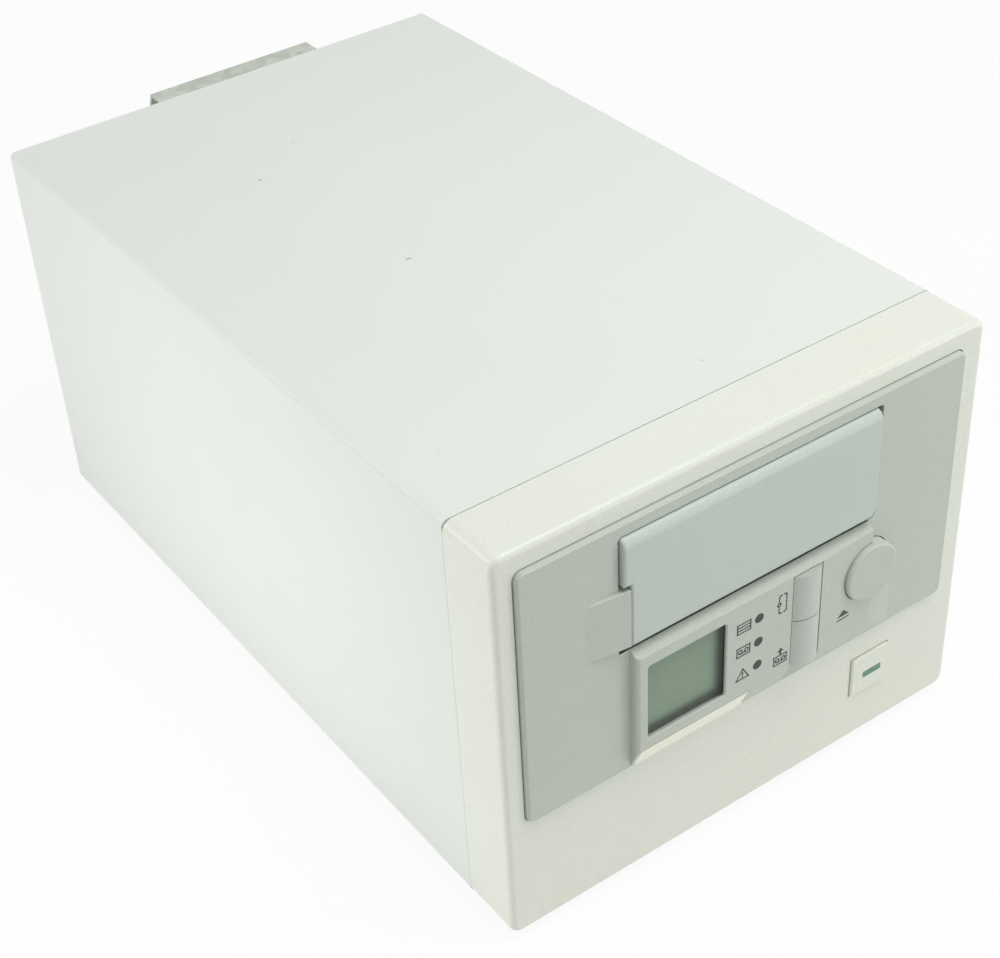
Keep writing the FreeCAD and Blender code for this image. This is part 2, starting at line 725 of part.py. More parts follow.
# The bevel above and the slope below both run from the plate's face out to the pod's.
stand = POD_FACE - FASCIA_PROUD
past = POD_FACE + stand
bevel_side = prism_x([(-FASCIA_PROUD, POD_Z1), (-past, POD_Z1 - 2 * POD_BEVEL), (-past, POD_Z1 + OVERCUT),
                      (-FASCIA_PROUD, POD_Z1 + OVERCUT)], POD_X0 - OVERCUT, POD_X1 + OVERCUT)
slope_side = prism_x([(-FASCIA_PROUD, toe_z), (-past, 2 * POD_Z0 - toe_z), (-past, toe_z - OVERCUT),
                      (-FASCIA_PROUD, toe_z - OVERCUT)], POD_X0 - OVERCUT, POD_X1 + OVERCUT)
step_side = box(EJECT_X + POD_STEP_PAST, POD_X1 + OVERCUT, -past, -FASCIA_PROUD, EJECT_Z, POD_Z1 + OVERCUT)
pod = cut(pod, bevel_side, slope_side, step_side)
tab = prism_z([(KEY_X - TAB_LEN, -FASCIA_PROUD), (KEY_X, -FASCIA_PROUD - TAB_PROUD), (KEY_X, 0),
               (KEY_X - TAB_LEN, 0)], KEY_Z0, KEY_Z1)
ramp_top = [edge for edge in tab.Edges if edge.BoundBox.ZMin > KEY_Z1 - SNUG and
            edge.BoundBox.YMin < -FASCIA_PROUD - SNUG and edge.BoundBox.XLength > SNUG]
tab = tab.makeFillet(TAB_EDGE, ramp_top)
opening = prism_y([(DOOR_X0, DOOR_Z1), (DOOR_X1, DOOR_Z1), (DOOR_X1, DOOR_Z0), (DOOR_X0, DOOR_Z0),
                   (DOOR_X0, KEY_Z0), (KEY_X, KEY_Z0), (KEY_X, KEY_Z1), (DOOR_X0, KEY_Z1)],
                  -past, FASCIA_BACK + OVERCUT)


def round_corner(solid, x, z, r):
    here = [edge for edge in edges_along(solid, ALONG_Y)
            if abs(edge.BoundBox.XMin - x) < 0.5 * SNUG and abs(edge.BoundBox.ZMin - z) < 0.5 * SNUG]
    return solid.makeFillet(r, here)


opening = round_corner(opening, DOOR_X0, DOOR_Z1, DOOR_CORNER_LEFT)
opening = round_corner(opening, DOOR_X1, DOOR_Z1, DOOR_CORNER_RIGHT)
opening = round_corner(opening, DOOR_X1, DOOR_Z0, DOOR_CORNER_LOW)
floor_fall = prism_x([(-FASCIA_PROUD, DOOR_Z0), (FASCIA_BACK, DOOR_Z0 - DOOR_FALL),
                      (FASCIA_BACK, DOOR_Z0)], DOOR_X0, DOOR_X1 - DOOR_CORNER_LOW)
cavity = box(POD_X0 + POD_WALL, CAVITY_X1, CAVITY_Y0, FASCIA_BACK + OVERCUT, CAVITY_Z0, CAVITY_Z1)
glass_x = (LCD_X0 - LCD_MARGIN, LCD_X1 + LCD_MARGIN)
glass_z = (LCD_Z0 - LCD_MARGIN, LCD_Z1 + LCD_MARGIN)
lcd_pocket = box(glass_x[0] - SEAT, glass_x[1] + SEAT, LCD_WALL - POD_FACE, 0,
                 glass_z[0] - SEAT, glass_z[1] + SEAT)
lcd_hole = rounded(ALONG_Y, LCD_CORNER, LCD_X0, LCD_X1, -past, FASCIA_BACK, LCD_Z0, LCD_Z1)
lights_z = [POD_MID + k * LIGHT_PITCH for k in (1, 0, -1)]
light_holes = [rod_y(LIGHT_X, z, LIGHT_R + SNUG, -past, FASCIA_BACK) for z in lights_z]
key_slot = box(RUN_KEY_X0, RUN_KEY_X1, -past, -FASCIA_PROUD, toe_z, RUN_KEY_Z1)
eject_hole = rod_y(EJECT_X, EJECT_Z, EJECT_R + FIT, -past, FASCIA_BACK + OVERCUT)
sill_x1 = LIGHT_X - SILL_SHORT
sill_x0 = POD_X0 + SILL_INSET
sill_notch = box(sill_x0, sill_x1, -past, FASCIA_BACK, FASCIA_Z0 - OVERCUT, POD_Z0)
pin_hole_r = DOOR_PIN_R + DOOR_PIN_PRESS
pin_holes = [rod_x(DOOR_PIN_Y, DOOR_PIN_Z, pin_hole_r, DOOR_X0 - DOOR_PIN_SUNK - FIT, DOOR_X0 + OVERCUT),
             rod_x(DOOR_PIN_Y, DOOR_PIN_Z, pin_hole_r, DOOR_X1 - OVERCUT, DOOR_X1 + DOOR_PIN_SUNK + FIT)]
fascia = cut(join(plate, skirt, pod, tab), opening, floor_fall)
fascia = cut(fascia, cavity, lcd_pocket, lcd_hole, key_slot, eject_hole, sill_notch,
             *(light_holes + pin_holes))
lcd_rim = [edge for edge in front_rim(fascia, -POD_FACE) if edge.BoundBox.XMin > LCD_X0 - SNUG and
           edge.BoundBox.XMax < LCD_X1 + SNUG and edge.BoundBox.ZMin > LCD_Z0 - SNUG and
           edge.BoundBox.ZMax < LCD_Z1 + SNUG]
fascia = fascia.makeChamfer(LCD_CHAMFER, lcd_rim)
door_back = DOOR_T - DOOR_FACE
stop_y = RETURN_BACK + SNUG
stop_z = DOOR_PIN_Z - STOP_DROP
stops = [box(x + side * STOP_ROOT, x - side * STOP_W, stop_y, stop_y + STOP_T, stop_z - STOP_H, stop_z)
         for side, x in ((-1, DOOR_X0), (1, DOOR_X1))]
boss_x = CAVITY_X1 + BOARD_BOSS_INSET
boss_z = CAVITY_Z1 + BOARD_BOSS_UP
board_bosses = [slab_y(x, z, BOARD_BOSS / 2, BOARD_BOSS / 2, 0, BOARD_Y)
                for x, z in ((POD_X0 + BOARD_BOSS_INSET, boss_z), (boss_x, boss_z),
                             (boss_x, POD_Z0), (POD_X1 - BOARD_BOSS / 2, POD_Z0))]
nodes["fascia"] = join(fascia, *(stops + board_bosses))

# Lift-up flap: its top edge is a round drawn about its own pivot, so it turns inside the opening.
# Its sides turn back beside the opening's jambs, where they rest on the stops.
face = -DOOR_FACE
flap_x0 = DOOR_X0 + DOOR_LEFT_GAP
flap_x1 = DOOR_X1 - DOOR_RIGHT_GAP
flap_z0 = DOOR_Z0 + DOOR_FOOT_GAP
crown = DOOR_PIN_Z + DOOR_ROUND
q = DOOR_ROUND * math.sqrt(0.5)
arc = Part.Arc(V(flap_x0, face, DOOR_PIN_Z), V(flap_x0, DOOR_PIN_Y - q, DOOR_PIN_Z + q),
               V(flap_x0, DOOR_PIN_Y, crown)).toShape()
rest = Part.makePolygon([V(flap_x0, y, z) for y, z in (
    (DOOR_PIN_Y, crown), (DOOR_PIN_Y, DOOR_PIN_Z + DOOR_NECK), (door_back, DOOR_PIN_Z),
    (door_back, flap_z0 + DOOR_LIP_H), (-DOOR_LIP_BACK, flap_z0 + DOOR_LIP_H), (-DOOR_LIP_BACK, flap_z0),
    (face, flap_z0), (face, DOOR_PIN_Z))])
flap = Part.Face(Part.Wire([arc] + rest.Edges)).extrude(V(flap_x1 - flap_x0, 0, 0))
knuckles = [rod_x(DOOR_PIN_Y, DOOR_PIN_Z, KNUCKLE_R, x, x + KNUCKLE_L)
            for x in (flap_x0, flap_x1 - KNUCKLE_L)]
returns = [box(x, x + RETURN_T, door_back - SNUG, RETURN_BACK, flap_z0, DOOR_PIN_Z)
           for x in (flap_x0, flap_x1 - RETURN_T)]
keyed_x0 = KEY_X + KEY_GAP
step_z = KEY_Z1 + DOOR_STEP_GAP
over_crown = crown + OVERCUT
outline = prism_y([(flap_x0, over_crown), (flap_x1, over_crown), (flap_x1, flap_z0), (keyed_x0, flap_z0),
                   (keyed_x0, step_z), (flap_x0, step_z)], -past, FASCIA_BACK)
outline = round_corner(outline, flap_x1, flap_z0, DOOR_CORNER_LOW)
flap = join(flap, *(knuckles + returns)).common(outline).removeSplitter()
flap_rim = [edge for edge in front_rim(flap, face) if edge.BoundBox.ZMin < DOOR_PIN_Z - SNUG]
flap = flap.makeFillet(DOOR_EDGE, flap_rim)
bores = [rod_x(DOOR_PIN_Y, DOOR_PIN_Z, DOOR_PIN_R + PIN_FIT, x - OVERCUT, x + KNUCKLE_L + OVERCUT)
         for x in (flap_x0, flap_x1 - KNUCKLE_L)]
nodes["magazine_door"] = cut(flap, *bores)
nodes["door_pins"] = Part.makeCompound([
    rod_x(DOOR_PIN_Y, DOOR_PIN_Z, DOOR_PIN_R, x, x + DOOR_PIN_L)
    for x in (DOOR_X0 - DOOR_PIN_SUNK, DOOR_X1 + DOOR_PIN_SUNK - DOOR_PIN_L)])

# Display stack behind the pod: clear window, glass, module, and the sill on the slope below.
win_y = LCD_WALL - POD_FACE + SEAT
glass_y = win_y + WINDOW_T + SEAT
module_y = glass_y + GLASS_T + SEAT
nodes["display_window"] = box(*glass_x, win_y, win_y + WINDOW_T, *glass_z)
nodes["display_glass"] = box(*glass_x, glass_y, glass_y + GLASS_T, *glass_z)
nodes["display_module"] = rounded(ALONG_Y, MODULE_CORNER, *glass_x, module_y, BOARD_Y, *glass_z)
sill_back = FASCIA_BACK - SEAT
nodes["display_sill"] = prism_x([(sill_back, FASCIA_Z0 + SEAT), (-FASCIA_PROUD, FASCIA_Z0 + SEAT),
                                 (-FASCIA_PROUD, toe_z), (-POD_FACE + SNUG, POD_Z0 - SEAT),
                                 (sill_back, POD_Z0 - SEAT)], sill_x0 + SNUG, sill_x1 - SEAT)

# Lights: dark rods that carry light from the control board to the pod's face.
nodes["indicator_lights"] = Part.makeCompound([
    rod_y(LIGHT_X, z, LIGHT_R, -POD_FACE, BOARD_Y) for z in lights_z])


def run_key(z0, z1, body0, body1):
    x0 = RUN_KEY_X0 + FIT
    x1 = RUN_KEY_X1 - FIT
    middle = (x0 + x1) / 2
    edge_y = SNUG - POD_FACE
    bow = Part.Arc(V(x0, edge_y, z0), V(middle, -FRONT_REACH, z0), V(x1, edge_y, z0)).toShape()
    lip_y = -FASCIA_PROUD - FIT - KEY_TRAVEL
    sides = Part.makePolygon([V(x1, edge_y, z0), V(x1, lip_y, z0), V(x0, lip_y, z0), V(x0, edge_y, z0)])
    cap = Part.Face(Part.Wire([bow] + sides.Edges)).extrude(V(0, 0, z1 - z0))
    body = box(x0, x1, lip_y, KEY_BODY_BACK, body0, body1)
    rim_y = CAVITY_Y0 + FIT
    rim = box(x0 - KEY_RIM, x1 + KEY_RIM, rim_y, rim_y + KEY_RIM_T, body0, body1)
    stem_y = SWITCH_TIP_Y - FIT - KEY_TRAVEL
    stem = slab_y(middle, (body0 + body1) / 2, KEY_STEM / 2, KEY_STEM / 2, 0, stem_y)
    return join(cap, body, rim, stem)


# Two bowed keys share the slot: the upper one selects a tape, the lower one loads it.
body_low = CAVITY_Z0 + FIT
body_high = CAVITY_Z1 - FIT
below = RUN_KEY_SPLIT - FIT / 2
above = RUN_KEY_SPLIT + FIT / 2
load_key = run_key(POD_Z0, below, body_low, below)
low_corners = [edge for edge in edges_along(load_key, ALONG_Y) if edge.BoundBox.ZMax < POD_Z0 + SNUG and
               edge.BoundBox.YMin < SNUG - POD_FACE + SNUG]
nodes["load_key"] = load_key.makeFillet(KEY_ROUND, low_corners)
nodes["select_key"] = run_key(above, RUN_KEY_Z1 - FIT, above, body_high)

disc = rod_y(EJECT_X, EJECT_Z, EJECT_R, -EJECT_FACE, FASCIA_BACK + FIT)
disc = disc.makeChamfer(EJECT_EDGE, front_rim(disc, -EJECT_FACE))
rim_half = EJECT_R + EJECT_RIM
rim = slab_y(EJECT_X, EJECT_Z, rim_half, rim_half, FASCIA_BACK + FIT, SWITCH_TIP_Y - FIT - EJECT_TRAVEL)
nodes["eject_button"] = join(disc, rim)

# Control board behind the pod, with one switch under each key.
key_mid = (RUN_KEY_X0 + RUN_KEY_X1) / 2
spots = ((key_mid, (body_low + below) / 2), (key_mid, (above + body_high) / 2), (EJECT_X, EJECT_Z))
switches = []
for x, z in spots:
    body = slab_y(x, z, SWITCH_SIDE / 2, SWITCH_SIDE / 2, SWITCH_TIP_Y + SWITCH_TIP_OUT, BOARD_Y)
    switches.append(join(body, slab_y(x, z, SWITCH_TIP / 2, SWITCH_TIP / 2, SWITCH_TIP_Y, BOARD_Y)))
nodes["key_switches"] = Part.makeCompound(switches)
nodes["control_board"] = box(POD_X0 + SNUG, POD_X1 + BOARD_MARGIN, BOARD_Y, BOARD_Y + BOARD_T,
                             POD_Z0 - BOARD_MARGIN, POD_Z1 - SEAT)

# Loader frame: folded floor and sides, with ears that hold the lift screw and the guide rod.
inner = FRAME_HALF - FRAME_T
frame = box(-FRAME_HALF, FRAME_HALF, FRAME_FRONT, FRAME_BACK, FRAME_Z0, FRAME_Z1)
frame = cut(frame, box(-inner, inner, FRAME_FRONT - OVERCUT, FRAME_BACK + OVERCUT,
                       FRAME_FLOOR, FRAME_Z1 + OVERCUT))
bays = ((FRAME_FRONT, LIFT_Y - EAR_HALF), (LIFT_Y + EAR_HALF, DECK_Y0), (DECK_Y0, FRAME_BACK))
windows = [box(-HALF_W, HALF_W, y0 + FRAME_WEB, y1 - FRAME_WEB, FRAME_Z0 + FRAME_WINDOW_FOOT,
               FRAME_Z1 - FRAME_WINDOW_HEAD) for y0, y1 in bays]
ears = [box(side * (FRAME_HALF - FRAME_T / 2), side * (LIFT_X - EAR_IN), LIFT_Y - EAR_HALF,
            LIFT_Y + EAR_HALF, EAR_Z, EAR_Z + FRAME_T) for side in SIDES]
neck_r = LIFT_R - LIFT_NECK
ear_holes = [rod_z(-LIFT_X, LIFT_Y, neck_r + FIT, EAR_Z - OVERCUT, EAR_Z + FRAME_T + OVERCUT),
             rod_z(LIFT_X, LIFT_Y, LIFT_R + PIN_FIT, EAR_Z - OVERCUT, EAR_Z + FRAME_T + OVERCUT)]
nodes["loader_frame"] = cut(join(cut(frame, *windows), *ears), *ear_holes)

# Lift: motor with a screw shaft on one side, guide rod on the other, carriage between them.
motor_top = FRAME_FLOOR + MOTOR_H
shaft_z = FRAME_FLOOR + MOTOR_FOOT_T
motor_x = (-LIFT_X - MOTOR_HALF, -LIFT_X + MOTOR_HALF)
motor = box(*motor_x, LIFT_Y - MOTOR_HALF, LIFT_Y + MOTOR_HALF, FRAME_FLOOR, motor_top)
motor = motor.makeChamfer(MOTOR_CORNER, edges_along(motor, ALONG_Z))
motor_foot = box(*motor_x, LIFT_Y - MOTOR_FOOT, LIFT_Y + MOTOR_FOOT, FRAME_FLOOR, shaft_z)
nodes["lift_motor"] = cut(join(motor, motor_foot), rod_z(-LIFT_X, LIFT_Y, LIFT_R + FIT, shaft_z + FIT,
                                                         motor_top + OVERCUT))
nodes["lift_screw"] = join(rod_z(-LIFT_X, LIFT_Y, LIFT_R, shaft_z + 2 * FIT, EAR_Z - FIT),
                           rod_z(-LIFT_X, LIFT_Y, neck_r, EAR_Z - OVERCUT, EAR_Z + FRAME_T + OVERCUT))
nodes["guide_rod"] = rod_z(LIFT_X, LIFT_Y, LIFT_R, FRAME_FLOOR, EAR_Z + FRAME_T)
floor = box(MAG_X0 - LIFT_LEDGE, MAG_X1 + LIFT_LEDGE, MAG_Y0 - SEAT, MAG_Y1, MAG_Z0 - LIFT_T, MAG_Z0)
lug_z0 = MAG_Z0 - LUG_DROP
lug_z1 = MAG_Z0 + LUG_RISE
walls = []
lugs = []
for side, edge_x in ((-1, MAG_X0), (1, MAG_X1)):
    wall_in = edge_x + side * SEAT
    wall_out = wall_in + side * LIFT_WALL_T
    walls.append(box(wall_in, wall_out, MAG_Y0, MAG_Y1, MAG_Z0 - LIFT_T, MAG_Z0 + LIFT_WALL_H))
    lugs.append(box(wall_in, side * (LIFT_X + LUG_OUT), LIFT_Y - LUG_W / 2, LIFT_Y + LUG_W / 2,
                    lug_z0, lug_z1))
guides = [rod_z(side * LIFT_X, LIFT_Y, LIFT_R + FIT, lug_z0 - OVERCUT, lug_z1 + OVERCUT) for side in SIDES]
lighten = box(MAG_X0 + LIFT_WINDOW_X, MAG_X1 - LIFT_WINDOW_X, MAG_Y0 + LIFT_WINDOW_Y,
              MAG_Y1 - LIFT_WINDOW_Y, MAG_Z0 - LIFT_T - OVERCUT, MAG_Z0 + OVERCUT)
nodes["lift_carriage"] = cut(join(floor, *(walls + lugs)), lighten, *guides)

# Magazine: slots in two banks, with a key rib that passes the fascia's opening above the tab.
magazine = box(MAG_X0, MAG_X1, MAG_Y0, MAG_Y1, MAG_Z0, MAG_Z1)
rib_z = KEY_Z1 + DOOR_STEP_GAP
key_rib = box(DOOR_X0 + SEAT + DOOR_GAP, MAG_X0 + OVERCUT, MAG_Y0, MAG_Y1, rib_z, rib_z + RIB_KEY_H)
slots = []
tapes = []
slot_half = TAPE_W / 2 + TAPE_PLAY
bank_l = TAPE_D + MAG_BANK_END
tape_x0 = FASCIA_MID - TAPE_W / 2
tape_x1 = FASCIA_MID + TAPE_W / 2
for out, mouth_y in ((-1, MAG_Y0), (1, MAG_Y1)):
    outer = mouth_y - out * (MAG_BANK_END - TAPE_SINK)
    inside = outer - out * TAPE_D
    ya = min(outer, inside)
    yb = max(outer, inside)
    c = TAPE_CORNER
    plan = [(tape_x0 + c, ya), (tape_x1 - c, ya), (tape_x1, ya + c), (tape_x1, yb - c),
            (tape_x1 - c, yb), (tape_x0 + c, yb), (tape_x0, yb - c), (tape_x0, ya + c)]
    for k in range(SLOTS):
        z = MAG_Z0 + MAG_SHELF + k * (SLOT_H + MAG_SHELF)
        slots.append(box(FASCIA_MID - slot_half, FASCIA_MID + slot_half, mouth_y + out * OVERCUT,
                         mouth_y - out * bank_l, z, z + SLOT_H))
        grip = box(FASCIA_MID - GRIP_W / 2, FASCIA_MID + GRIP_W / 2, outer + out * OVERCUT,
                   outer - out * GRIP_DEEP, z + GRIP_RIM, z + TAPE_H - GRIP_RIM)
        tapes.append(cut(prism_z(plan, z, z + TAPE_H), grip))
nodes["magazine"] = cut(join(magazine, key_rib), *slots)
nodes["cartridges"] = Part.makeCompound(tapes)

# Tape deck on posts, its mouth level with the magazine's lowest slot.
deck_half = DECK_W / 2
deck_top = DECK_Z0 + DECK_H
mouth_z0 = MAG_Z0 + MAG_SHELF - DECK_MOUTH
deck = rounded(ALONG_Y, DECK_ROUND, -deck_half, deck_half, DECK_Y0, DECK_Y1, DECK_Z0, deck_top)
mouth = box(tape_x0 - DECK_MOUTH, tape_x1 + DECK_MOUTH, DECK_Y0 - OVERCUT, DECK_Y0 + DECK_MOUTH_DEEP,
            mouth_z0, mouth_z0 + TAPE_H + 2 * DECK_MOUTH)
panel_half = deck_half - DECK_PANEL_RIM
panel = box(-panel_half, panel_half, DECK_Y0 + DECK_MOUTH_DEEP + DECK_PANEL_RIM, DECK_Y1 - DECK_PANEL_RIM,
            deck_top - DECK_PANEL_SINK, deck_top + OVERCUT)
nodes["tape_deck"] = cut(deck, mouth, panel)
nodes["deck_posts"] = Part.makeCompound([
    hex_post(side * (deck_half - POST_INSET), y, POST_R, FRAME_FLOOR, DECK_Z0)
    for side in SIDES for y in (DECK_Y0 + POST_INSET, DECK_Y1 - POST_INSET)])

# Loader's own circuit board on the frame floor, under the lift.
main_z = FRAME_FLOOR + MAIN_RISE
main_top = main_z + BOARD_T
main_x = LIFT_X - MOTOR_HALF - MAIN_CLEAR
main_y1 = MAIN_Y + MAIN_L
nodes["main_board"] = box(-main_x, main_x, MAIN_Y, main_y1, main_z, main_top)
nodes["main_posts"] = Part.makeCompound([
    hex_post(side * (main_x - POST_INSET), y, POST_R, FRAME_FLOOR, main_z)
    for side in SIDES for y in (MAIN_Y + POST_INSET, main_y1 - POST_INSET)])
chips = []
chip_y = MAIN_Y + CHIP_INSET_Y
for k, side in ((-1, CHIP_BIG), (0, CHIP_SMALL), (1, CHIP_SMALL)):
    for row in (0, 1):
        half = (CHIP_SMALL if row else side) / 2
        x = k * (main_x - CHIP_INSET_X)
        y = chip_y + row * CHIP_ROW
        chips.append(box(x - half, x + half, y - half, y + half, main_top, main_top + CHIP_H))
nodes["main_chips"] = Part.makeCompound(chips)

# Power supply: board on posts, transformer, capacitors, finned heat sink.
supply_half = TRAY_HALF - SUPPLY_INSET_X
supply_y1 = REAR_Y - SUPPLY_INSET_Y
supply_y0 = supply_y1 - SUPPLY_L
supply_z = TRAY_TOP + SUPPLY_RISE
supply_top = supply_z + BOARD_T
nodes["supply_board"] = box(-supply_half, supply_half, supply_y0, supply_y1, supply_z, supply_top)
nodes["supply_posts"] = Part.makeCompound([
    hex_post(side * (supply_half - POST_INSET), y, POST_R, TRAY_TOP, supply_z)
    for side in SIDES for y in (supply_y0 + POST_INSET, supply_y1 - POST_INSET)])
core_x0 = CORE_INSET_X - supply_half
core_y0 = supply_y0 + CORE_INSET_Y
core = box(core_x0, core_x0 + CORE_W, core_y0, core_y0 + CORE_L, supply_top, supply_top + CORE_H)
coil = rounded(ALONG_Z, COIL_ROUND, core_x0 + COIL_NARROW, core_x0 + CORE_W - COIL_NARROW,
               core_y0 - COIL_PAST, core_y0 + CORE_L + COIL_PAST,
               supply_top + COIL_INSET_Z, supply_top + CORE_H - COIL_INSET_Z)
nodes["supply_transformer"] = join(core, coil)
can_x = supply_half - CAN_INSET
nodes["supply_capacitors"] = Part.makeCompound([
    rod_z(x, supply_y1 - CAN_BACK, CAN_R, supply_top, supply_top + CAN_H)
    for x in (can_x - CAN_PITCH, can_x)])
sink_w = (SINK_FINS - 1) * SINK_PITCH + SINK_FIN_T
sink_x = can_x + CAN_R - SINK_PITCH - sink_w
sink_y = supply_y0 + SINK_Y
fins = []
for k in range(SINK_FINS):
    x = sink_x + k * SINK_PITCH
    fins.append(box(x, x + SINK_FIN_T, sink_y, sink_y + SINK_L, supply_top, supply_top + SINK_H))
sink_base = box(sink_x, sink_x + sink_w, sink_y, sink_y + SINK_L, supply_top, supply_top + SINK_BASE)
nodes["supply_heatsink"] = join(sink_base, *fins)

# Rear panel: flanged sheet with a punched fan guard and cut-outs for the sockets.
panel_z0 = TRAY_TOP + SEAT
panel_z1 = CASE_H - SHEET - SEAT
punch_y0 = REAR_Y - OVERCUT
punch_y1 = REAR_FACE + OVERCUT
rear = box(-TRAY_HALF, TRAY_HALF, REAR_Y, REAR_FACE, panel_z0, panel_z1)
flanges = [box(-TRAY_HALF, TRAY_HALF, REAR_Y - REAR_FLANGE, REAR_FACE, panel_z1 - REAR_T, panel_z1)]
for side in SIDES:
    flanges.append(box(side * TRAY_HALF, side * (TRAY_HALF - REAR_T), REAR_Y - REAR_FLANGE, REAR_FACE,
                       tray_rim + FLANGE_RISE, panel_z1))


def punched(x, z, half_x, half_z):
    return slab_y(x, z, half_x, half_z, punch_y0, punch_y1)


punches = [punched(INLET_X, INLET_Z, INLET_W / 2 + SNUG, INLET_H / 2 + SNUG),
           punched(SOCKET_X, ID_Z, ID_W / 2 - ID_RIM + SNUG, ID_H / 2 - ID_RIM + SNUG)]
sockets_z = [CASE_H - head for head in SOCKET_HEADS]
for z in sockets_z:
    punches.append(punched(SOCKET_X, z, SOCKET_W / 2 + SNUG, SOCKET_H / 2 + SNUG))
for k in range(GUARD_SLOTS):
    drop = (k - (GUARD_SLOTS - 1) / 2) * GUARD_PITCH
    reach = math.sqrt(GUARD_R ** 2 - drop ** 2)
    punches.append(punched(FAN_X, FAN_Z + drop, reach, GUARD_SLOT_W / 2))
vent_x = TRAY_HALF - SIDE_VENT_INSET - SIDE_VENT_L / 2
for k in range(SIDE_VENTS):
    z = CASE_H - SIDE_VENT_HEAD - k * SIDE_VENT_PITCH
    punches.append(punched(vent_x, z, SIDE_VENT_L / 2, SIDE_VENT_W / 2))
nodes["rear_panel"] = cut(join(rear, *flanges), *punches)

# Galvanised hood over the fan outlet: flange, flat top and a leaning rear lip, open at both ends.
fold_y = REAR_FACE + HOOD_OUT
hood_low = HOOD_TOP - HOOD_DROP
lean = math.atan2(HOOD_DROP, HOOD_LEAN)
nodes["rear_hood"] = prism_x([(REAR_FACE, HOOD_TOP), (fold_y, HOOD_TOP), (HOOD_BACK, hood_low),
                              (HOOD_BACK - SHEET / math.sin(lean), hood_low),
                              (fold_y - SHEET * math.tan(lean / 2), HOOD_TOP - SHEET),
                              (REAR_FACE + SHEET, HOOD_TOP - SHEET),
                              (REAR_FACE + SHEET, HOOD_TOP - HOOD_FLANGE),
                              (REAR_FACE, HOOD_TOP - HOOD_FLANGE)], HOOD_X0, HOOD_X0 + HOOD_W)

# Fan: square frame with a motor base on four struts, and a hub with pitched blades.
fan_y1 = REAR_Y - SEAT
fan_y0 = fan_y1 - FAN_DEPTH
fan_half = FAN_SIDE / 2
base_y = fan_y1 - FAN_BASE_T
strut_half = FAN_BORE_R + FAN_WALL / 2
fan = round_y(FAN_X, FAN_Z, fan_half, fan_half, fan_y0, fan_y1, FAN_CORNER)
fan = cut(fan, rod_y(FAN_X, FAN_Z, FAN_BORE_R, fan_y0 - OVERCUT, fan_y1 + OVERCUT))
struts = [slab_y(FAN_X, FAN_Z, strut_half, FAN_STRUT / 2, base_y, fan_y1),
          slab_y(FAN_X, FAN_Z, FAN_STRUT / 2, strut_half, base_y, fan_y1)]
nodes["fan_frame"] = join(fan, rod_y(FAN_X, FAN_Z, FAN_HUB_R, base_y, fan_y1), *struts)
hub_y0 = fan_y0 + FAN_SETBACK
hub_y1 = base_y - FIT
hub_mid = (hub_y0 + hub_y1) / 2
hub = rod_y(FAN_X, FAN_Z, FAN_HUB_R, hub_y0, hub_y1)
blades = []
half_l = (hub_y1 - hub_y0) / 2 - FIT
for k in range(FAN_BLADES):
    blade = box(-FAN_BLADE_T / 2, FAN_BLADE_T / 2, -FAN_DEPTH, FAN_DEPTH, FAN_HUB_R / 2,
                FAN_BORE_R - FAN_TIP_GAP)
    blade.rotate(V(0, 0, 0), ALONG_Z, FAN_PITCH_DEG)
    blade = blade.common(box(-FAN_BORE_R, FAN_BORE_R, -half_l, half_l, 0, FAN_BORE_R))
    blade.translate(V(FAN_X, hub_mid, FAN_Z))
    blade.rotate(V(FAN_X, 0, FAN_Z), ALONG_Y, 360.0 / FAN_BLADES * k)
    blades.append(blade)
nodes["fan_rotor"] = join(hub, *blades)

# Mains inlet: flanged body with a chamfered socket and three blades.
inlet_y = REAR_FACE + INLET_FLANGE_T
flange = slab_y(INLET_X, INLET_Z, INLET_FLANGE_W / 2, INLET_FLANGE_H / 2, REAR_FACE, inlet_y)
flange = flange.makeChamfer(INLET_FLANGE_CUT, edges_along(flange, ALONG_Y))
inlet = join(slab_y(INLET_X, INLET_Z, INLET_W / 2, INLET_H / 2, REAR_FACE - INLET_DEEP, inlet_y), flange)
socket_y = REAR_FACE - INLET_SOCKET
left = INLET_X - INLET_W / 2 + INLET_WALL_X
right = INLET_X + INLET_W / 2 - INLET_WALL_X
low = INLET_Z - INLET_H / 2 + INLET_WALL_Z
high = INLET_Z + INLET_H / 2 - INLET_WALL_Z
c = INLET_CHAMFER
socket = prism_y([(left, low), (right, low), (right, high - c), (right - c, high), (left + c, high),
                  (left, high - c)], socket_y, inlet_y + OVERCUT)
inlet_holes = [rod_y(INLET_X + side * INLET_HOLE_PITCH / 2, INLET_Z, INLET_HOLE_R, REAR_FACE - OVERCUT,
                     inlet_y + OVERCUT) for side in SIDES]
nodes["power_inlet"] = cut(inlet, socket, *inlet_holes)
nodes["inlet_pins"] = Part.makeCompound([
    slab_y(INLET_X + x, INLET_Z + z, BLADE_T / 2, BLADE_H / 2, socket_y, REAR_FACE - BLADE_SUNK)
    for x, z in ((-BLADE_X, -BLADE_Z), (BLADE_X, -BLADE_Z), (0, BLADE_Z))])

# Two bus sockets, one to go in and one to go on to the next unit.
shells = []
inserts = []
a = SOCKET_W / 2
b = SOCKET_H / 2
shell_y = REAR_FACE + SOCKET_OUT


def shell_outline(z, shrink):
    wide = a - SOCKET_WALL - shrink
    slant = wide - SOCKET_SLANT
    return [(SOCKET_X - wide, z + b - shrink), (SOCKET_X + wide, z + b - shrink),
            (SOCKET_X + slant, z - b + shrink), (SOCKET_X - slant, z - b + shrink)]


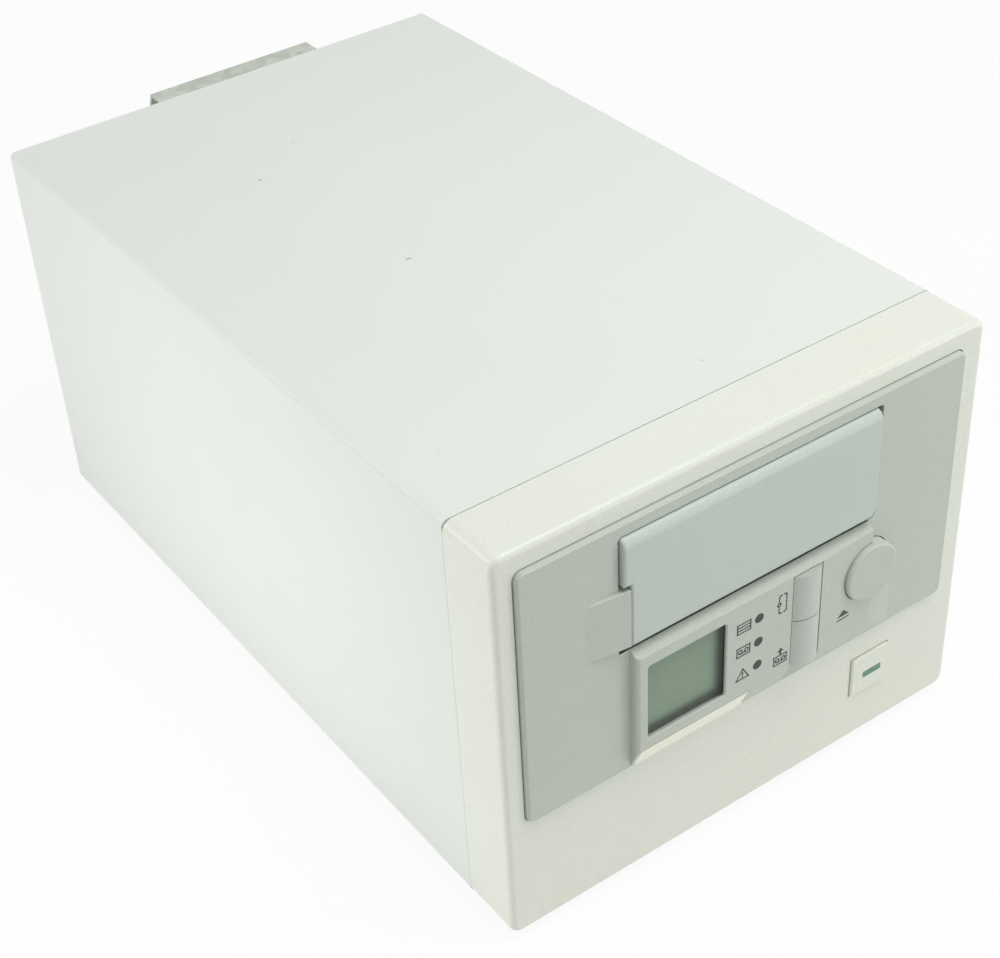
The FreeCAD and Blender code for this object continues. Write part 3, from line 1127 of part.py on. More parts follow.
for z in sockets_z:
    plate = slab_y(SOCKET_X, z, a + SOCKET_EAR, b + SOCKET_RIM, REAR_FACE, REAR_FACE + SOCKET_PLATE_T)
    wall = join(plate, prism_y(shell_outline(z, 0), REAR_FACE, shell_y))
    shells.append(cut(wall, prism_y(shell_outline(z, SOCKET_WALL), REAR_FACE - OVERCUT, shell_y + OVERCUT)))
    core_half = a - SOCKET_WALL - 2 * SOCKET_SLANT
    slot_half = core_half - SOCKET_SLANT
    core = slab_y(SOCKET_X, z, core_half, b - SOCKET_WALL - SNUG, REAR_Y - SOCKET_FOOT,
                  shell_y - SOCKET_SINK)
    rows = slab_y(SOCKET_X, z, slot_half, SOCKET_SLOT_H / 2, shell_y - SOCKET_SLOT_DEEP, shell_y)
    foot = slab_y(SOCKET_X, z, core_half, b + SOCKET_RIM, REAR_Y - SOCKET_FOOT, REAR_Y - SEAT)
    inserts.append(join(cut(core, rows), foot))
nodes["bus_shells"] = Part.makeCompound(shells)
nodes["bus_inserts"] = Part.makeCompound(inserts)

# Address switch: body with a window, a number drum and two step buttons.
id_back = REAR_FACE + ID_FLANGE_T
wheel_y = REAR_FACE - ID_WHEEL_SUNK
body = join(slab_y(SOCKET_X, ID_Z, ID_W / 2 - ID_RIM, ID_H / 2 - ID_RIM, REAR_FACE - ID_DEEP, id_back),
            slab_y(SOCKET_X, ID_Z, ID_W / 2, ID_H / 2, REAR_FACE, id_back))
half = ID_WHEEL_W / 2 + FIT
room = ID_WHEEL_R + FIT
chamber = slab_y(SOCKET_X, ID_Z, half, room, wheel_y - room, wheel_y + room)
sight = slab_y(SOCKET_X, ID_Z, half, ID_SIGHT / 2, wheel_y, id_back + OVERCUT)
axle = half + ID_AXLE_L
axle_hole = rod_x(wheel_y, ID_Z, ID_AXLE_R + PIN_FIT, SOCKET_X - axle - FIT, SOCKET_X + axle + FIT)
key_holes = []
for name, side in (("id_down_button", -1), ("id_up_button", 1)):
    x = SOCKET_X + side * ID_KEY_PITCH
    hole_y = REAR_FACE - ID_KEY_DEEP
    side_half = ID_KEY / 2
    hole_half = side_half + FIT
    key_holes.append(slab_y(x, ID_Z, hole_half, hole_half, hole_y, id_back + OVERCUT))
    nodes[name] = slab_y(x, ID_Z, side_half, side_half, hole_y + FIT + ID_KEY_TRAVEL, id_back + ID_KEY_OUT)
nodes["id_switch_body"] = cut(body, chamber, sight, axle_hole, *key_holes)
drum = ID_WHEEL_W / 2
turns = [math.radians(360 / ID_FLATS * (k + 0.5)) for k in range(ID_FLATS)]
rim = [(wheel_y + ID_WHEEL_R * math.cos(a), ID_Z + ID_WHEEL_R * math.sin(a)) for a in turns]
nodes["id_wheel"] = join(prism_x(rim, SOCKET_X - drum, SOCKET_X + drum),
                         rod_x(wheel_y, ID_Z, ID_AXLE_R, SOCKET_X - axle, SOCKET_X + axle))

for name, shape in nodes.items():
    placed = shape.copy()
    placed.translate(TO_FLOOR)
    placed.exportStep("parts/" + name + ".step")
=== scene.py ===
import math

import bmesh
import bpy
from mathutils import Matrix, Vector


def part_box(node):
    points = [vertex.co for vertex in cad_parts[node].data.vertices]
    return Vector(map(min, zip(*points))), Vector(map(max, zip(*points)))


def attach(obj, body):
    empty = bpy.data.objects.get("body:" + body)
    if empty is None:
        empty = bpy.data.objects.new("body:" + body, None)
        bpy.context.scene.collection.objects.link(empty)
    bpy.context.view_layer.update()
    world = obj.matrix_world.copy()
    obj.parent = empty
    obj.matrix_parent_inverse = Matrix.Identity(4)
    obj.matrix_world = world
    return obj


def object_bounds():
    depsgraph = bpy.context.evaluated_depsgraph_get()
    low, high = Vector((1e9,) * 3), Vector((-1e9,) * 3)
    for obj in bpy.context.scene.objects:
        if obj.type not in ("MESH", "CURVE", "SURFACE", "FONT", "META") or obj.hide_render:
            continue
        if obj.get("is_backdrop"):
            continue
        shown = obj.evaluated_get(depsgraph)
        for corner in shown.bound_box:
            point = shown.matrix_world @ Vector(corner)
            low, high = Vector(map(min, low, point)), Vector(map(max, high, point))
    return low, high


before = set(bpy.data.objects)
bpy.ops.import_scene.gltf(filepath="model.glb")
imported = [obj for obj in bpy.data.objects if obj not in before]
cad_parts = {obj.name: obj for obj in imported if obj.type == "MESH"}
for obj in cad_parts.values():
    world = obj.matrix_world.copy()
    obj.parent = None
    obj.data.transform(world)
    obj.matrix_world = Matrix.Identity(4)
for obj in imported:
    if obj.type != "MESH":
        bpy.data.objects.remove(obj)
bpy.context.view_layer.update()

# Base tray, loader brackets and fan hood: zinc-coated steel sheet, cut, folded and left bare.
# Hot-dip zinc freezes in flat crystals a few millimetres across with wandering borders, each a little
# lighter or darker and a little duller or brighter than the next.


def linear(code):
    channels = [int(code[i:i + 2], 16) / 255 for i in (1, 3, 5)]
    return tuple(c / 12.92 if c <= 0.04045 else ((c + 0.055) / 1.055) ** 2.4 for c in channels) + (1.0,)


def per_mm(size):
    return 1000.0 / size


def add(tree, kind, inputs, **settings):
    node = tree.nodes.new("ShaderNode" + kind)
    for key, value in settings.items():
        setattr(node, key, value)
    for socket, value in inputs.items():
        if isinstance(value, bpy.types.NodeSocket):
            tree.links.new(value, node.inputs[socket])
        else:
            node.inputs[socket].default_value = value
    return node


def finish_named(name, **sockets):
    finish = bpy.data.materials.new(name)
    finish.use_nodes = True
    tree = finish.node_tree
    shader = tree.nodes["Principled BSDF"]
    for socket, value in sockets.items():
        shader.inputs[socket].default_value = value
    spot = add(tree, "TexCoord", {}).outputs["Object"]
    return finish, tree, shader, spot


def dress(finish, *node_names):
    for name in node_names:
        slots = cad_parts[name].data.materials
        slots.clear()
        slots.append(finish)


galvanised, tree, shader, spot = finish_named("galvanised_sheet", Metallic=1.0)
crystal_mm, warp_mm, border_shift = 3.0, 3.3, 0.004
warp = add(tree, "TexNoise", {"Vector": spot, "Scale": per_mm(warp_mm), "Detail": 2.0})
bent = add(tree, "MixRGB", {"Fac": border_shift, "Color1": spot, "Color2": warp.outputs["Color"]},
           blend_type="ADD")
crystal = add(tree, "TexVoronoi", {"Vector": bent.outputs[0], "Scale": per_mm(crystal_mm)})
grey = add(tree, "SeparateColor", {"Color": crystal.outputs["Color"]})
tone = add(tree, "MixRGB", {"Fac": grey.outputs[0], "Color1": linear("#c2c9bf"), "Color2": linear("#afb6ac")})
tree.links.new(tone.outputs[0], shader.inputs["Base Color"])
gloss = add(tree, "MapRange", {"Value": grey.outputs[1], "To Min": 0.34, "To Max": 0.52})
tree.links.new(gloss.outputs[0], shader.inputs["Roughness"])
dress(galvanised, "base_tray", "loader_brackets", "rear_hood")

# Feet: moulded black rubber pads, pushed on under the sleeve's lips.
# The skin is dry and slightly dusty, so it is dark grey in soft patches, with hardly any gloss.


def clouded(name, colour, other, patch_mm, detail, gloss=None, **sockets):
    finish, tree, shader, spot = finish_named(name, **sockets)
    patch = add(tree, "TexNoise", {"Vector": spot, "Scale": per_mm(patch_mm), "Detail": detail})
    tone = add(tree, "MixRGB", {"Fac": patch.outputs["Fac"], "Color1": linear(colour),
                                "Color2": linear(other)})
    tree.links.new(tone.outputs[0], shader.inputs["Base Color"])
    if gloss:
        rough = add(tree, "MapRange", {"Value": patch.outputs["Fac"], "To Min": gloss[0], "To Max": gloss[1]})
        tree.links.new(rough.outputs[0], shader.inputs["Roughness"])
    return finish


foot_rubber = clouded("moulded_rubber", "#1c1c1b", "#353431", 4, 4.0, Roughness=0.85, IOR=1.52)
dress(foot_rubber, "rubber_feet")

# Circuit boards of the supply, the loader and the control pod: glass-epoxy laminate, sawn to size.
# Under the green solder mask the copper tracks show as a faint paler pattern: bricks of 0.5 / 130 m,
# which is 3.8 mm.
board_mask, tree, shader, spot = finish_named("solder_mask", Roughness=0.35, IOR=1.55)
tracks = add(tree, "TexBrick", {"Vector": spot, "Scale": 130.0, "Color1": linear("#1f5236"),
                                "Color2": linear("#245c3d"), "Mortar": linear("#3a7a55"),
                                "Mortar Size": 0.03})
tree.links.new(tracks.outputs["Color"], shader.inputs["Base Color"])
dress(board_mask, "control_board", "main_board", "supply_board")

# Board posts and mains blades: turned and punched brass under thin nickel.
# The plating is uneven, so brass shows through in warm patches about 2 mm across.
plated_brass = clouded("plated_brass", "#c9b988", "#d9cda6", 2, 3.0, gloss=(0.25, 0.4), Metallic=1.0)
dress(plated_brass, "main_posts", "supply_posts", "inlet_pins")

# Transformer: a stack of stamped iron sheets, dipped in brown varnish.
# The edges of the sheets show as bands, drawn 0.314 / 300 m apart, which is 1 mm; the real ones are
# half that.
core_varnish, tree, shader, spot = finish_named("varnished_core", Roughness=0.4, IOR=1.5)
sheets = add(tree, "TexWave", {"Vector": spot, "Scale": 300.0, "Distortion": 0.3}, bands_direction="Z")
tone = add(tree, "MixRGB", {"Fac": sheets.outputs["Fac"], "Color1": linear("#3b332a"),
                            "Color2": linear("#4d4438")})
tree.links.new(tone.outputs[0], shader.inputs["Base Color"])
dress(core_varnish, "supply_transformer")

# Capacitors: aluminium cans in a shrunk plastic sleeve, soldered to the supply board.
# The dark blue sleeve is smooth, with soft wrinkles about 5 mm across.
can_sleeve = clouded("can_sleeve", "#1f2c46", "#27365a", 5, 2.0, Roughness=0.3, IOR=1.53)
dress(can_sleeve, "supply_capacitors")

# Loader frame, lift motor and socket shells: steel sheet, bent or drawn, then zinc plated.
# Electro-plated zinc is smoother than the galvanised sheet and keeps the faint lines of rolling.
plated_steel, tree, shader, spot = finish_named("plated_steel", Metallic=1.0)
stretch = add(tree, "Mapping", {"Vector": spot, "Scale": (1.0, 0.05, 1.0)})
rolling = add(tree, "TexNoise", {"Vector": stretch.outputs[0], "Scale": per_mm(1.1), "Detail": 3.0})
tone = add(tree, "MixRGB", {"Fac": rolling.outputs["Fac"], "Color1": linear("#b4b6b4"),
                            "Color2": linear("#c9cbc9")})
tree.links.new(tone.outputs[0], shader.inputs["Base Color"])
gloss = add(tree, "MapRange", {"Value": rolling.outputs["Fac"], "To Min": 0.3, "To Max": 0.46})
tree.links.new(gloss.outputs[0], shader.inputs["Roughness"])
dress(plated_steel, "loader_frame", "lift_motor", "bus_shells")

# Lift screw, guide rod, flap pins and deck posts: bright steel bar, turned and ground.
# The lathe leaves fine rings, drawn 0.314 / 320 m apart, which is 1 mm; finer ones would not show.
turned_steel, tree, shader, spot = finish_named("turned_steel", Metallic=1.0)
rings = add(tree, "TexWave", {"Vector": spot, "Scale": 320.0, "Distortion": 0.6, "Detail": 2.0},
            bands_direction="Z")
tone = add(tree, "MixRGB", {"Fac": rings.outputs["Fac"], "Color1": linear("#c2c3c4"),
                            "Color2": linear("#d9dadb")})
tree.links.new(tone.outputs[0], shader.inputs["Base Color"])
gloss = add(tree, "MapRange", {"Value": rings.outputs["Fac"], "To Min": 0.16, "To Max": 0.28})
tree.links.new(gloss.outputs[0], shader.inputs["Roughness"])
dress(turned_steel, "lift_screw", "guide_rod", "door_pins", "deck_posts")

# Carriage, tape deck and heat sink: die-cast and extruded aluminium, left raw.
# The casting skin is dull and slightly mottled, in patches of 1 to 2 mm.
raw_alloy = clouded("raw_aluminium", "#b9bbbc", "#d0d2d3", 1.4, 5.0, gloss=(0.36, 0.5), Metallic=1.0)
dress(raw_alloy, "lift_carriage", "tape_deck", "supply_heatsink")

# Magazine and tape cartridges: slate-grey ABS and charcoal polystyrene, moulded in spark-eroded tools.
# The tool leaves an even matt grain, and the colour drifts a little over 5 cm or so.


def grained_abs(name, fresh, aged, grain_mm, depth, rough=0.5):
    finish, tree, shader, spot = finish_named(name, Roughness=rough, IOR=1.54)
    cloud = add(tree, "TexNoise", {"Vector": spot, "Scale": per_mm(55), "Detail": 3.0})
    tone = add(tree, "MixRGB", {"Fac": cloud.outputs["Fac"], "Color1": linear(fresh), "Color2": linear(aged)})
    # The real grain is near 0.2 mm; 0.5 to 0.8 mm is the finest that shows in the render.
    speck = 0.045
    grain = add(tree, "TexNoise", {"Vector": spot, "Scale": per_mm(grain_mm), "Detail": 2.0})
    speckle = add(tree, "MapRange", {"Value": grain.outputs["Fac"], "From Min": 0.3, "From Max": 0.7,
                                     "To Min": 1 - speck, "To Max": 1 + speck})
    grey = add(tree, "CombineColor", {channel: speckle.outputs[0] for channel in range(3)})
    mottled = add(tree, "MixRGB", {"Fac": 1.0, "Color1": tone.outputs[0], "Color2": grey.outputs[0]},
                  blend_type="MULTIPLY")
    tree.links.new(mottled.outputs[0], shader.inputs["Base Color"])
    bump = add(tree, "Bump", {"Height": grain.outputs["Fac"], "Strength": depth, "Distance": 0.0003})
    tree.links.new(bump.outputs[0], shader.inputs["Normal"])
    return finish


magazine_abs = grained_abs("slate_abs", "#75797b", "#6c7072", 0.6, 0.10)
dress(magazine_abs, "magazine")
tape_shell = grained_abs("charcoal_polystyrene", "#45474a", "#3d3f42", 0.6, 0.10)
dress(tape_shell, "cartridges")

# Fan, inlet, switches, connector inserts, display module and chips: black mouldings.
# They are glass-filled nylon, which comes out of the mould dark and evenly dull.
black_nylon = grained_abs("black_nylon", "#242526", "#1c1d1e", 0.5, 0.10)
dress(black_nylon, "fan_frame", "fan_rotor", "power_inlet", "power_switch", "bus_inserts", "id_switch_body",
      "display_module", "key_switches", "main_chips")

# Fascia of the loader unit, with its flap, bowed keys and eject button: grey ABS, each a moulding
# of its own. All have the same spark-eroded grain; the flap is a shade bluer than the rest.
fascia_abs = grained_abs("grey_abs", "#c2c9bf", "#bdc5ba", 0.6, 0.12)
dress(fascia_abs, "fascia")
flap_abs = grained_abs("blue_grey_abs", "#c4cec8", "#bfc9c3", 0.6, 0.10)
dress(flap_abs, "magazine_door")
key_abs = grained_abs("key_grey_abs", "#c3cac1", "#bec5bc", 0.6, 0.08)
dress(key_abs, "select_key", "load_key")
eject_abs = grained_abs("eject_grey_abs", "#c1c8be", "#bcc4b9", 0.6, 0.08)
dress(eject_abs, "eject_button")

# Display window: a plate of clear cast acrylic, clipped into the pod from behind.
# It is polished, with only a trace of greenish haze.
window_acrylic = clouded("clear_acrylic", "#dfe8de", "#cfdacf", 2.5, 3.0,
                         Roughness=0.06, IOR=1.49, Alpha=0.06)
dress(window_acrylic, "display_window")

# Display glass: two thin panes with liquid crystal between them, unlit, on a green reflector.
# The green field stops short of the window on the right and below. The dark band there, behind a soft edge,
# is painted shade: it stands for the shadow of the window's recess, which falls on the right and below.
low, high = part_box("display_glass")
field = {"X": (low.x + 0.0002, high.x - 0.0026), "Z": (low.z + 0.0031, high.z - 0.0002)}
shade_softness = 0.0012
display_green, tree, shader, spot = finish_named("display_glass_green", Roughness=0.3, IOR=1.5)
axes = add(tree, "SeparateXYZ", {"Vector": spot})
edges = []
for axis, (start, end) in field.items():
    middle, half = (start + end) / 2, (end - start) / 2
    offset = add(tree, "Math", {0: axes.outputs[axis], 1: middle}, operation="SUBTRACT")
    away = add(tree, "Math", {0: offset.outputs[0]}, operation="ABSOLUTE")
    edges.append(add(tree, "MapRange", {"Value": away.outputs[0], "From Min": half - shade_softness,
                                        "From Max": half + shade_softness}))
# Painted shade: a dark band along the right and the bottom of the display, where the window's recess shades
# it.
painted_shade_band = add(tree, "Math", {0: edges[0].outputs[0], 1: edges[1].outputs[0]}, operation="MAXIMUM")
cells = add(tree, "TexNoise", {"Vector": spot, "Scale": per_mm(1.1), "Detail": 2.0})
green = add(tree, "MixRGB", {"Fac": cells.outputs["Fac"], "Color1": linear("#7a957b"),
                             "Color2": linear("#728d73")})
tone = add(tree, "MixRGB", {"Fac": painted_shade_band.outputs[0], "Color1": green.outputs[0],
                            "Color2": linear("#4a524b")})
tree.links.new(tone.outputs[0], shader.inputs["Base Color"])
dress(display_green, "display_glass")

# Sill under the display: a smooth strip of cream ABS, polished so that it picks up the light below it.
# The number drum and its two step buttons at the rear are moulded in the same cream.
cream_abs = grained_abs("cream_abs", "#fdfcec", "#faf9e6", 0.8, 0.02, rough=0.14)
dress(cream_abs, "display_sill", "id_up_button", "id_down_button", "id_wheel")

# Indicator lights: the ends of smoked acrylic rods, pressed through the pod's face.
# They are dark while unlit, with a dull cut end.
smoked_acrylic = clouded("smoked_acrylic", "#2b2d2a", "#363834", 1.25, 2.0, Roughness=0.35, IOR=1.49)
dress(smoked_acrylic, "indicator_lights")

# Symbols on the pod: one pass of dark grey pad-printing ink, a hair above the plastic.
# Each is drawn in strokes, in millimetres from its own middle, beside the light or key it explains.
ink_thick, ink_line = 0.00005, 0.38
ink_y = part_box("fascia")[0].y - ink_thick / 2
print_ink = clouded("pad_print_ink", "#3c413d", "#535853", 0.8, 2.0, Roughness=0.6, IOR=1.5)


def stroke(mesh, middle, a, b, width=ink_line):
    start, end = Vector((a[0], 0, a[1])) / 1000, Vector((b[0], 0, b[1])) / 1000
    run = end - start
    turn = Matrix.Rotation(-math.atan2(run.z, run.x), 4, "Y")
    size = Matrix.Diagonal((run.length + width / 1000, ink_thick, width / 1000, 1))
    place = Matrix.Translation(middle + (start + end) / 2)
    bmesh.ops.create_cube(mesh, size=1.0, matrix=place @ turn @ size)


def path(mesh, middle, points, width=ink_line):
    for a, b in zip(points, points[1:]):
        stroke(mesh, middle, a, b, width)


def ring(mesh, middle, x, z, radius, width):
    steps = 14
    turns = [2 * math.pi * k / steps for k in range(steps + 1)]
    path(mesh, middle, [(x + radius * math.cos(t), z + radius * math.sin(t)) for t in turns], width)


def arrowhead(mesh, middle, x, z, width, height):
    upright = Matrix.Rotation(math.radians(90), 4, "X")
    size = Matrix.Diagonal((width / math.sqrt(3) / 1000, height / 1.5 / 1000, ink_thick, 1))
    place = Matrix.Translation(middle + Vector((x, 0, z)) / 1000)
    bmesh.ops.create_cone(mesh, cap_ends=True, segments=3, radius1=1.0, radius2=1.0, depth=1.0,
                          matrix=place @ upright @ size)


def cassette(mesh, middle):
    wide, tall, hub_x, tape_z = 2.25, 1.5, 1.05, -0.65
    path(mesh, middle, [(-wide, -tall), (wide, -tall), (wide, tall), (-wide, tall), (-wide, -tall)])
    for side in (-1, 1):
        ring(mesh, middle, side * hub_x, 0, 0.62, 0.3)
    stroke(mesh, middle, (-hub_x, tape_z), (hub_x, tape_z), 0.28)


def keep(mesh, name, finishes, body):
    data = bpy.data.meshes.new(name)
    mesh.to_mesh(data)
    mesh.free()
    piece = bpy.data.objects.new(name, data)
    bpy.context.scene.collection.objects.link(piece)
    for finish in finishes:
        data.materials.append(finish)
    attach(piece, body)


# Beside the lights, from the top: a stack of slots, a cassette and a warning triangle.
light_low, light_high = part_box("indicator_lights")
light_middle = (light_low + light_high) / 2
light_pitch = (light_high.z - light_low.z - (light_high.x - light_low.x)) / 2
symbol_gap, symbol_drop = 0.0053, 0.0003
beside = Vector((light_middle.x - symbol_gap, ink_y, light_middle.z - symbol_drop))
step = Vector((0, 0, light_pitch))
slot_x, slot_rows = 2.3, (-1.56, -0.52, 0.52, 1.56)
mesh = bmesh.new()
for row in slot_rows:
    stroke(mesh, beside + step, (-slot_x, row), (slot_x, row))
for side in (-slot_x, slot_x):
    stroke(mesh, beside + step, (side, slot_rows[0]), (side, slot_rows[-1]))
keep(mesh, "magazine_symbol", [print_ink], "case")
mesh = bmesh.new()
cassette(mesh, beside)
keep(mesh, "cassette_symbol", [print_ink], "case")
base_x, peak_z = 2.2, 1.75
mesh = bmesh.new()
path(mesh, beside - step, [(-base_x, -peak_z), (base_x, -peak_z), (0, peak_z), (-base_x, -peak_z)])
stroke(mesh, beside - step, (0, -0.35), (0, 0.4), 0.45)
stroke(mesh, beside - step, (0, -1.1), (0, -1.05), 0.4)
keep(mesh, "attention_symbol", [print_ink], "case")

# Left of the keys: a broken loop with one stop on it, and a cassette under an arrow.
key_low, key_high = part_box("select_key")
load_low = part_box("load_key")[0]
key_gap, loop_drop, tape_lift = 0.0027, 0.0068, 0.0053
loop = Vector((key_low.x - key_gap, ink_y, key_high.z - loop_drop))
loop_x, loop_z, loop_corner = 1.3, 3.1, 0.45
break_x, break_z, dash_half = 0.45, 1.1, 0.45
mesh = bmesh.new()
for side in (-1, 1):
    for half in (-1, 1):
        path(mesh, loop, [(side * break_x, half * loop_z), (side * (loop_x - loop_corner), half * loop_z),
                          (side * loop_x, half * (loop_z - loop_corner)), (side * loop_x, half * break_z)])
stroke(mesh, loop, (loop_x, -dash_half), (loop_x, dash_half))
ring(mesh, loop, -loop_x, 0, 0.54, 0.32)
keep(mesh, "select_symbol", [print_ink], "case")
tape = Vector((key_low.x - key_gap, ink_y, load_low.z + tape_lift))
mesh = bmesh.new()
cassette(mesh, tape)
stroke(mesh, tape, (0, 1.8), (0, 2.7), 0.65)
arrowhead(mesh, tape, 0, 3.3, 2.3, 1.3)
keep(mesh, "load_symbol", [print_ink], "case")

# The pod's face falls back by two degrees towards the eject button, and its symbol lies on that face.
eject_low, eject_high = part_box("eject_button")
fall, fall_turn = 0.00032, math.radians(2.0)
eject_left, eject_below = 0.0091, 0.0112
eject = (eject_low + eject_high) / 2 - Vector((eject_left, 0, eject_below))
eject.y = ink_y + fall
bar_x, bar_z = 2.15, -1.4
mesh = bmesh.new()
arrowhead(mesh, eject, 0, 0.35, 4.4, 2.1)
stroke(mesh, eject, (-bar_x, bar_z), (bar_x, bar_z))
bmesh.ops.rotate(mesh, cent=eject, matrix=Matrix.Rotation(fall_turn, 3, "Z"), verts=mesh.verts)
keep(mesh, "eject_symbol", [print_ink], "case")

# Front bezel and power key: off-white ABS, moulded in one grain and clipped to the tray and sleeve.
# The plastic has yellowed a little, unevenly, and is smoother than the grey fascia.
bezel_abs = grained_abs("aged_white_abs", "#e6eadf", "#e2e6d8", 0.6, 0.08, rough=0.38)
dress(bezel_abs, "front_bezel", "power_button")

# Power light: a bar of clear green acrylic pressed into the power key.
# Unlit, it shows the dark inside of the key through a slightly cloudy green.
green_acrylic = clouded("green_acrylic", "#477c61", "#6f9f86", 1.7, 2.0, Roughness=0.22, IOR=1.49)
dress(green_acrylic, "power_light")

# Sleeve and rear panel: mild steel sheet, folded and powder coated off-white.
# Powder melts into a fine orange peel, dulls in broad patches and picks up a few specks of grime.
# The sleeve's top has two scuffs, a dark nick and a longer pale rub.


def powder_coat(name, paint, dulled, grime, scuffs):
    finish, tree, shader, spot = finish_named(name, Roughness=0.42, IOR=1.5)
    cloud = add(tree, "TexNoise", {"Vector": spot, "Scale": per_mm(70), "Detail": 3.0})
    tone = add(tree, "MixRGB", {"Fac": cloud.outputs["Fac"], "Color1": linear(paint),
                                "Color2": linear(dulled)})
    fleck = add(tree, "TexNoise", {"Vector": spot, "Scale": per_mm(4), "Detail": 2.0})
    patch = add(tree, "TexNoise", {"Vector": spot, "Scale": per_mm(45), "Detail": 4.0})
    both = add(tree, "Math", {0: fleck.outputs["Fac"], 1: patch.outputs["Fac"]}, operation="MULTIPLY")
    marks = add(tree, "MapRange", {"Value": both.outputs[0], "From Min": 0.49, "From Max": 0.53,
                                   "To Max": 0.4})
    painted = add(tree, "MixRGB", {"Fac": marks.outputs[0], "Color1": tone.outputs[0],
                                   "Color2": linear(grime)})
    for centre, size, ink in scuffs:
        reach = (size, size * 0.6, 0.004)
        place = add(tree, "Mapping", {"Vector": spot, "Location": centre, "Scale": reach},
                    vector_type="TEXTURE")
        ball = add(tree, "TexGradient", {"Vector": place.outputs[0]}, gradient_type="SPHERICAL")
        ragged = add(tree, "TexNoise", {"Vector": spot, "Scale": per_mm(0.65), "Detail": 3.0})
        torn = add(tree, "Math", {0: ball.outputs["Fac"], 1: ragged.outputs["Fac"]}, operation="MULTIPLY")
        mask = add(tree, "MapRange", {"Value": torn.outputs[0], "From Min": 0.16, "From Max": 0.34,
                                      "To Max": 0.8})
        painted = add(tree, "MixRGB", {"Fac": mask.outputs[0], "Color1": painted.outputs[0],
                                       "Color2": linear(ink)})
    tree.links.new(painted.outputs[0], shader.inputs["Base Color"])
    peel = add(tree, "TexNoise", {"Vector": spot, "Scale": per_mm(0.7), "Detail": 2.0})
    bump = add(tree, "Bump", {"Height": peel.outputs["Fac"], "Strength": 0.12, "Distance": 0.0004})
    tree.links.new(bump.outputs[0], shader.inputs["Normal"])
    return finish


rear_paint = powder_coat("powder_coated_rear", "#dfe3dd", "#d9ded6", "#8d8b80", [])
dress(rear_paint, "rear_panel")
top_scuffs = [((-0.0281, 0.0549, 0.134), 0.0011, "#77756c"),
              ((-0.0194, -0.0150, 0.134), 0.0019, "#b5b4aa")]
sleeve_paint = powder_coat("powder_coated_sleeve", "#e6eae5", "#e1e6df", "#8d8b80", top_scuffs)
dress(sleeve_paint, "sleeve_cover")

# Screws: zinc-plated steel pan heads with a cross slot, driven from the rear and from below; the slot is not
# cut but drawn as a flat dark cross, painted shade for its recess.
# Those at the rear hold the hood, fan, inlet and panel; those below hold the sleeve's lips to the tray.
screw_zinc = clouded("zinc_screw", "#b9bab6", "#d4d5d1", 0.65, 2.0, gloss=(0.22, 0.4), Metallic=1.0)
slot_shadow = clouded("slot_shadow", "#2b2b29", "#3d3d3a", 0.5, 2.0, Roughness=0.7, IOR=1.5)


def pan_screw(mesh, seat, out, radius, height):
    radius, height = radius / 1000, height / 1000
    crown, edge_round, slot_long, slot_wide, slot_thick = 0.9, 0.4, 1.1, 0.2, 0.00004
    aim = Vector((0, 0, 1)).rotation_difference(Vector(out)).to_matrix().to_4x4()
    place = Matrix.Translation(Vector(seat) / 1000) @ aim
    made = bmesh.ops.create_cone(mesh, cap_ends=True, segments=28, radius1=radius, radius2=radius * crown,
                                 depth=height, matrix=place @ Matrix.Translation((0, 0, height / 2)))
    upper = {v for v in made["verts"] if (place.inverted() @ v.co).z > height / 2}
    rim = [e for e in mesh.edges if e.verts[0] in upper and e.verts[1] in upper]
    bmesh.ops.bevel(mesh, geom=rim, offset=height * edge_round, affect="EDGES", segments=3, profile=0.5,
                    material=-1)
    # The cross: two flat dark bars a hair above the head, painted shade standing for the slot's recess.
    for turn in (20, 110):
        bar = Matrix.Diagonal((radius * slot_long, radius * slot_wide, slot_thick, 1))
        turned = Matrix.Translation((0, 0, height)) @ Matrix.Rotation(math.radians(turn), 4, "Z")
        cross = bmesh.ops.create_cube(mesh, size=1.0, matrix=place @ turned @ bar)
        for face in {f for v in cross["verts"] for f in v.link_faces}:
            face.material_index = 1


to_rear, down = (0, 1, 0), (0, 0, -1)
hood_head, case_head, inlet_head, lip_head = (1.9, 1.3), (2.6, 1.7), (2.4, 1.2), (2.6, 1.5)
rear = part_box("rear_panel")[1].y * 1000
mesh = bmesh.new()
hood_sheet, hood_drop = 1.0, 3.6
hood_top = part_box("rear_hood")[1].z * 1000
for x in (-14.0, 32.5):
    pan_screw(mesh, (x, rear + hood_sheet, hood_top - hood_drop), to_rear, *hood_head)
fan_half = 25
fan_low, fan_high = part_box("fan_frame")
fan_middle = (fan_low + fan_high) * 500
for x in (-fan_half, fan_half):
    for z in (-fan_half, fan_half):
        pan_screw(mesh, (fan_middle.x + x, rear, fan_middle.z + z), to_rear, *case_head)
inlet_half = 20
inlet_low, inlet_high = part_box("power_inlet")
inlet_middle = (inlet_low + inlet_high) * 500
for x in (-inlet_half, inlet_half):
    pan_screw(mesh, (inlet_middle.x + x, inlet_high.y * 1000, inlet_middle.z), to_rear, *inlet_head)
panel_half, panel_rows = 74, (46, 128)
for x in (-panel_half, panel_half):
    for z in panel_rows:
        pan_screw(mesh, (x, rear, z), to_rear, *case_head)
keep(mesh, "rear_screws", [screw_zinc, slot_shadow], "case")

lip_half, lip_rows = 72, (-80, 0, 80)
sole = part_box("sleeve_cover")[0].z * 1000
mesh = bmesh.new()
for x in (-lip_half, lip_half):
    for y in lip_rows:
        pan_screw(mesh, (x, y, sole), down, *lip_head)
keep(mesh, "underside_screws", [screw_zinc, slot_shadow], "case")

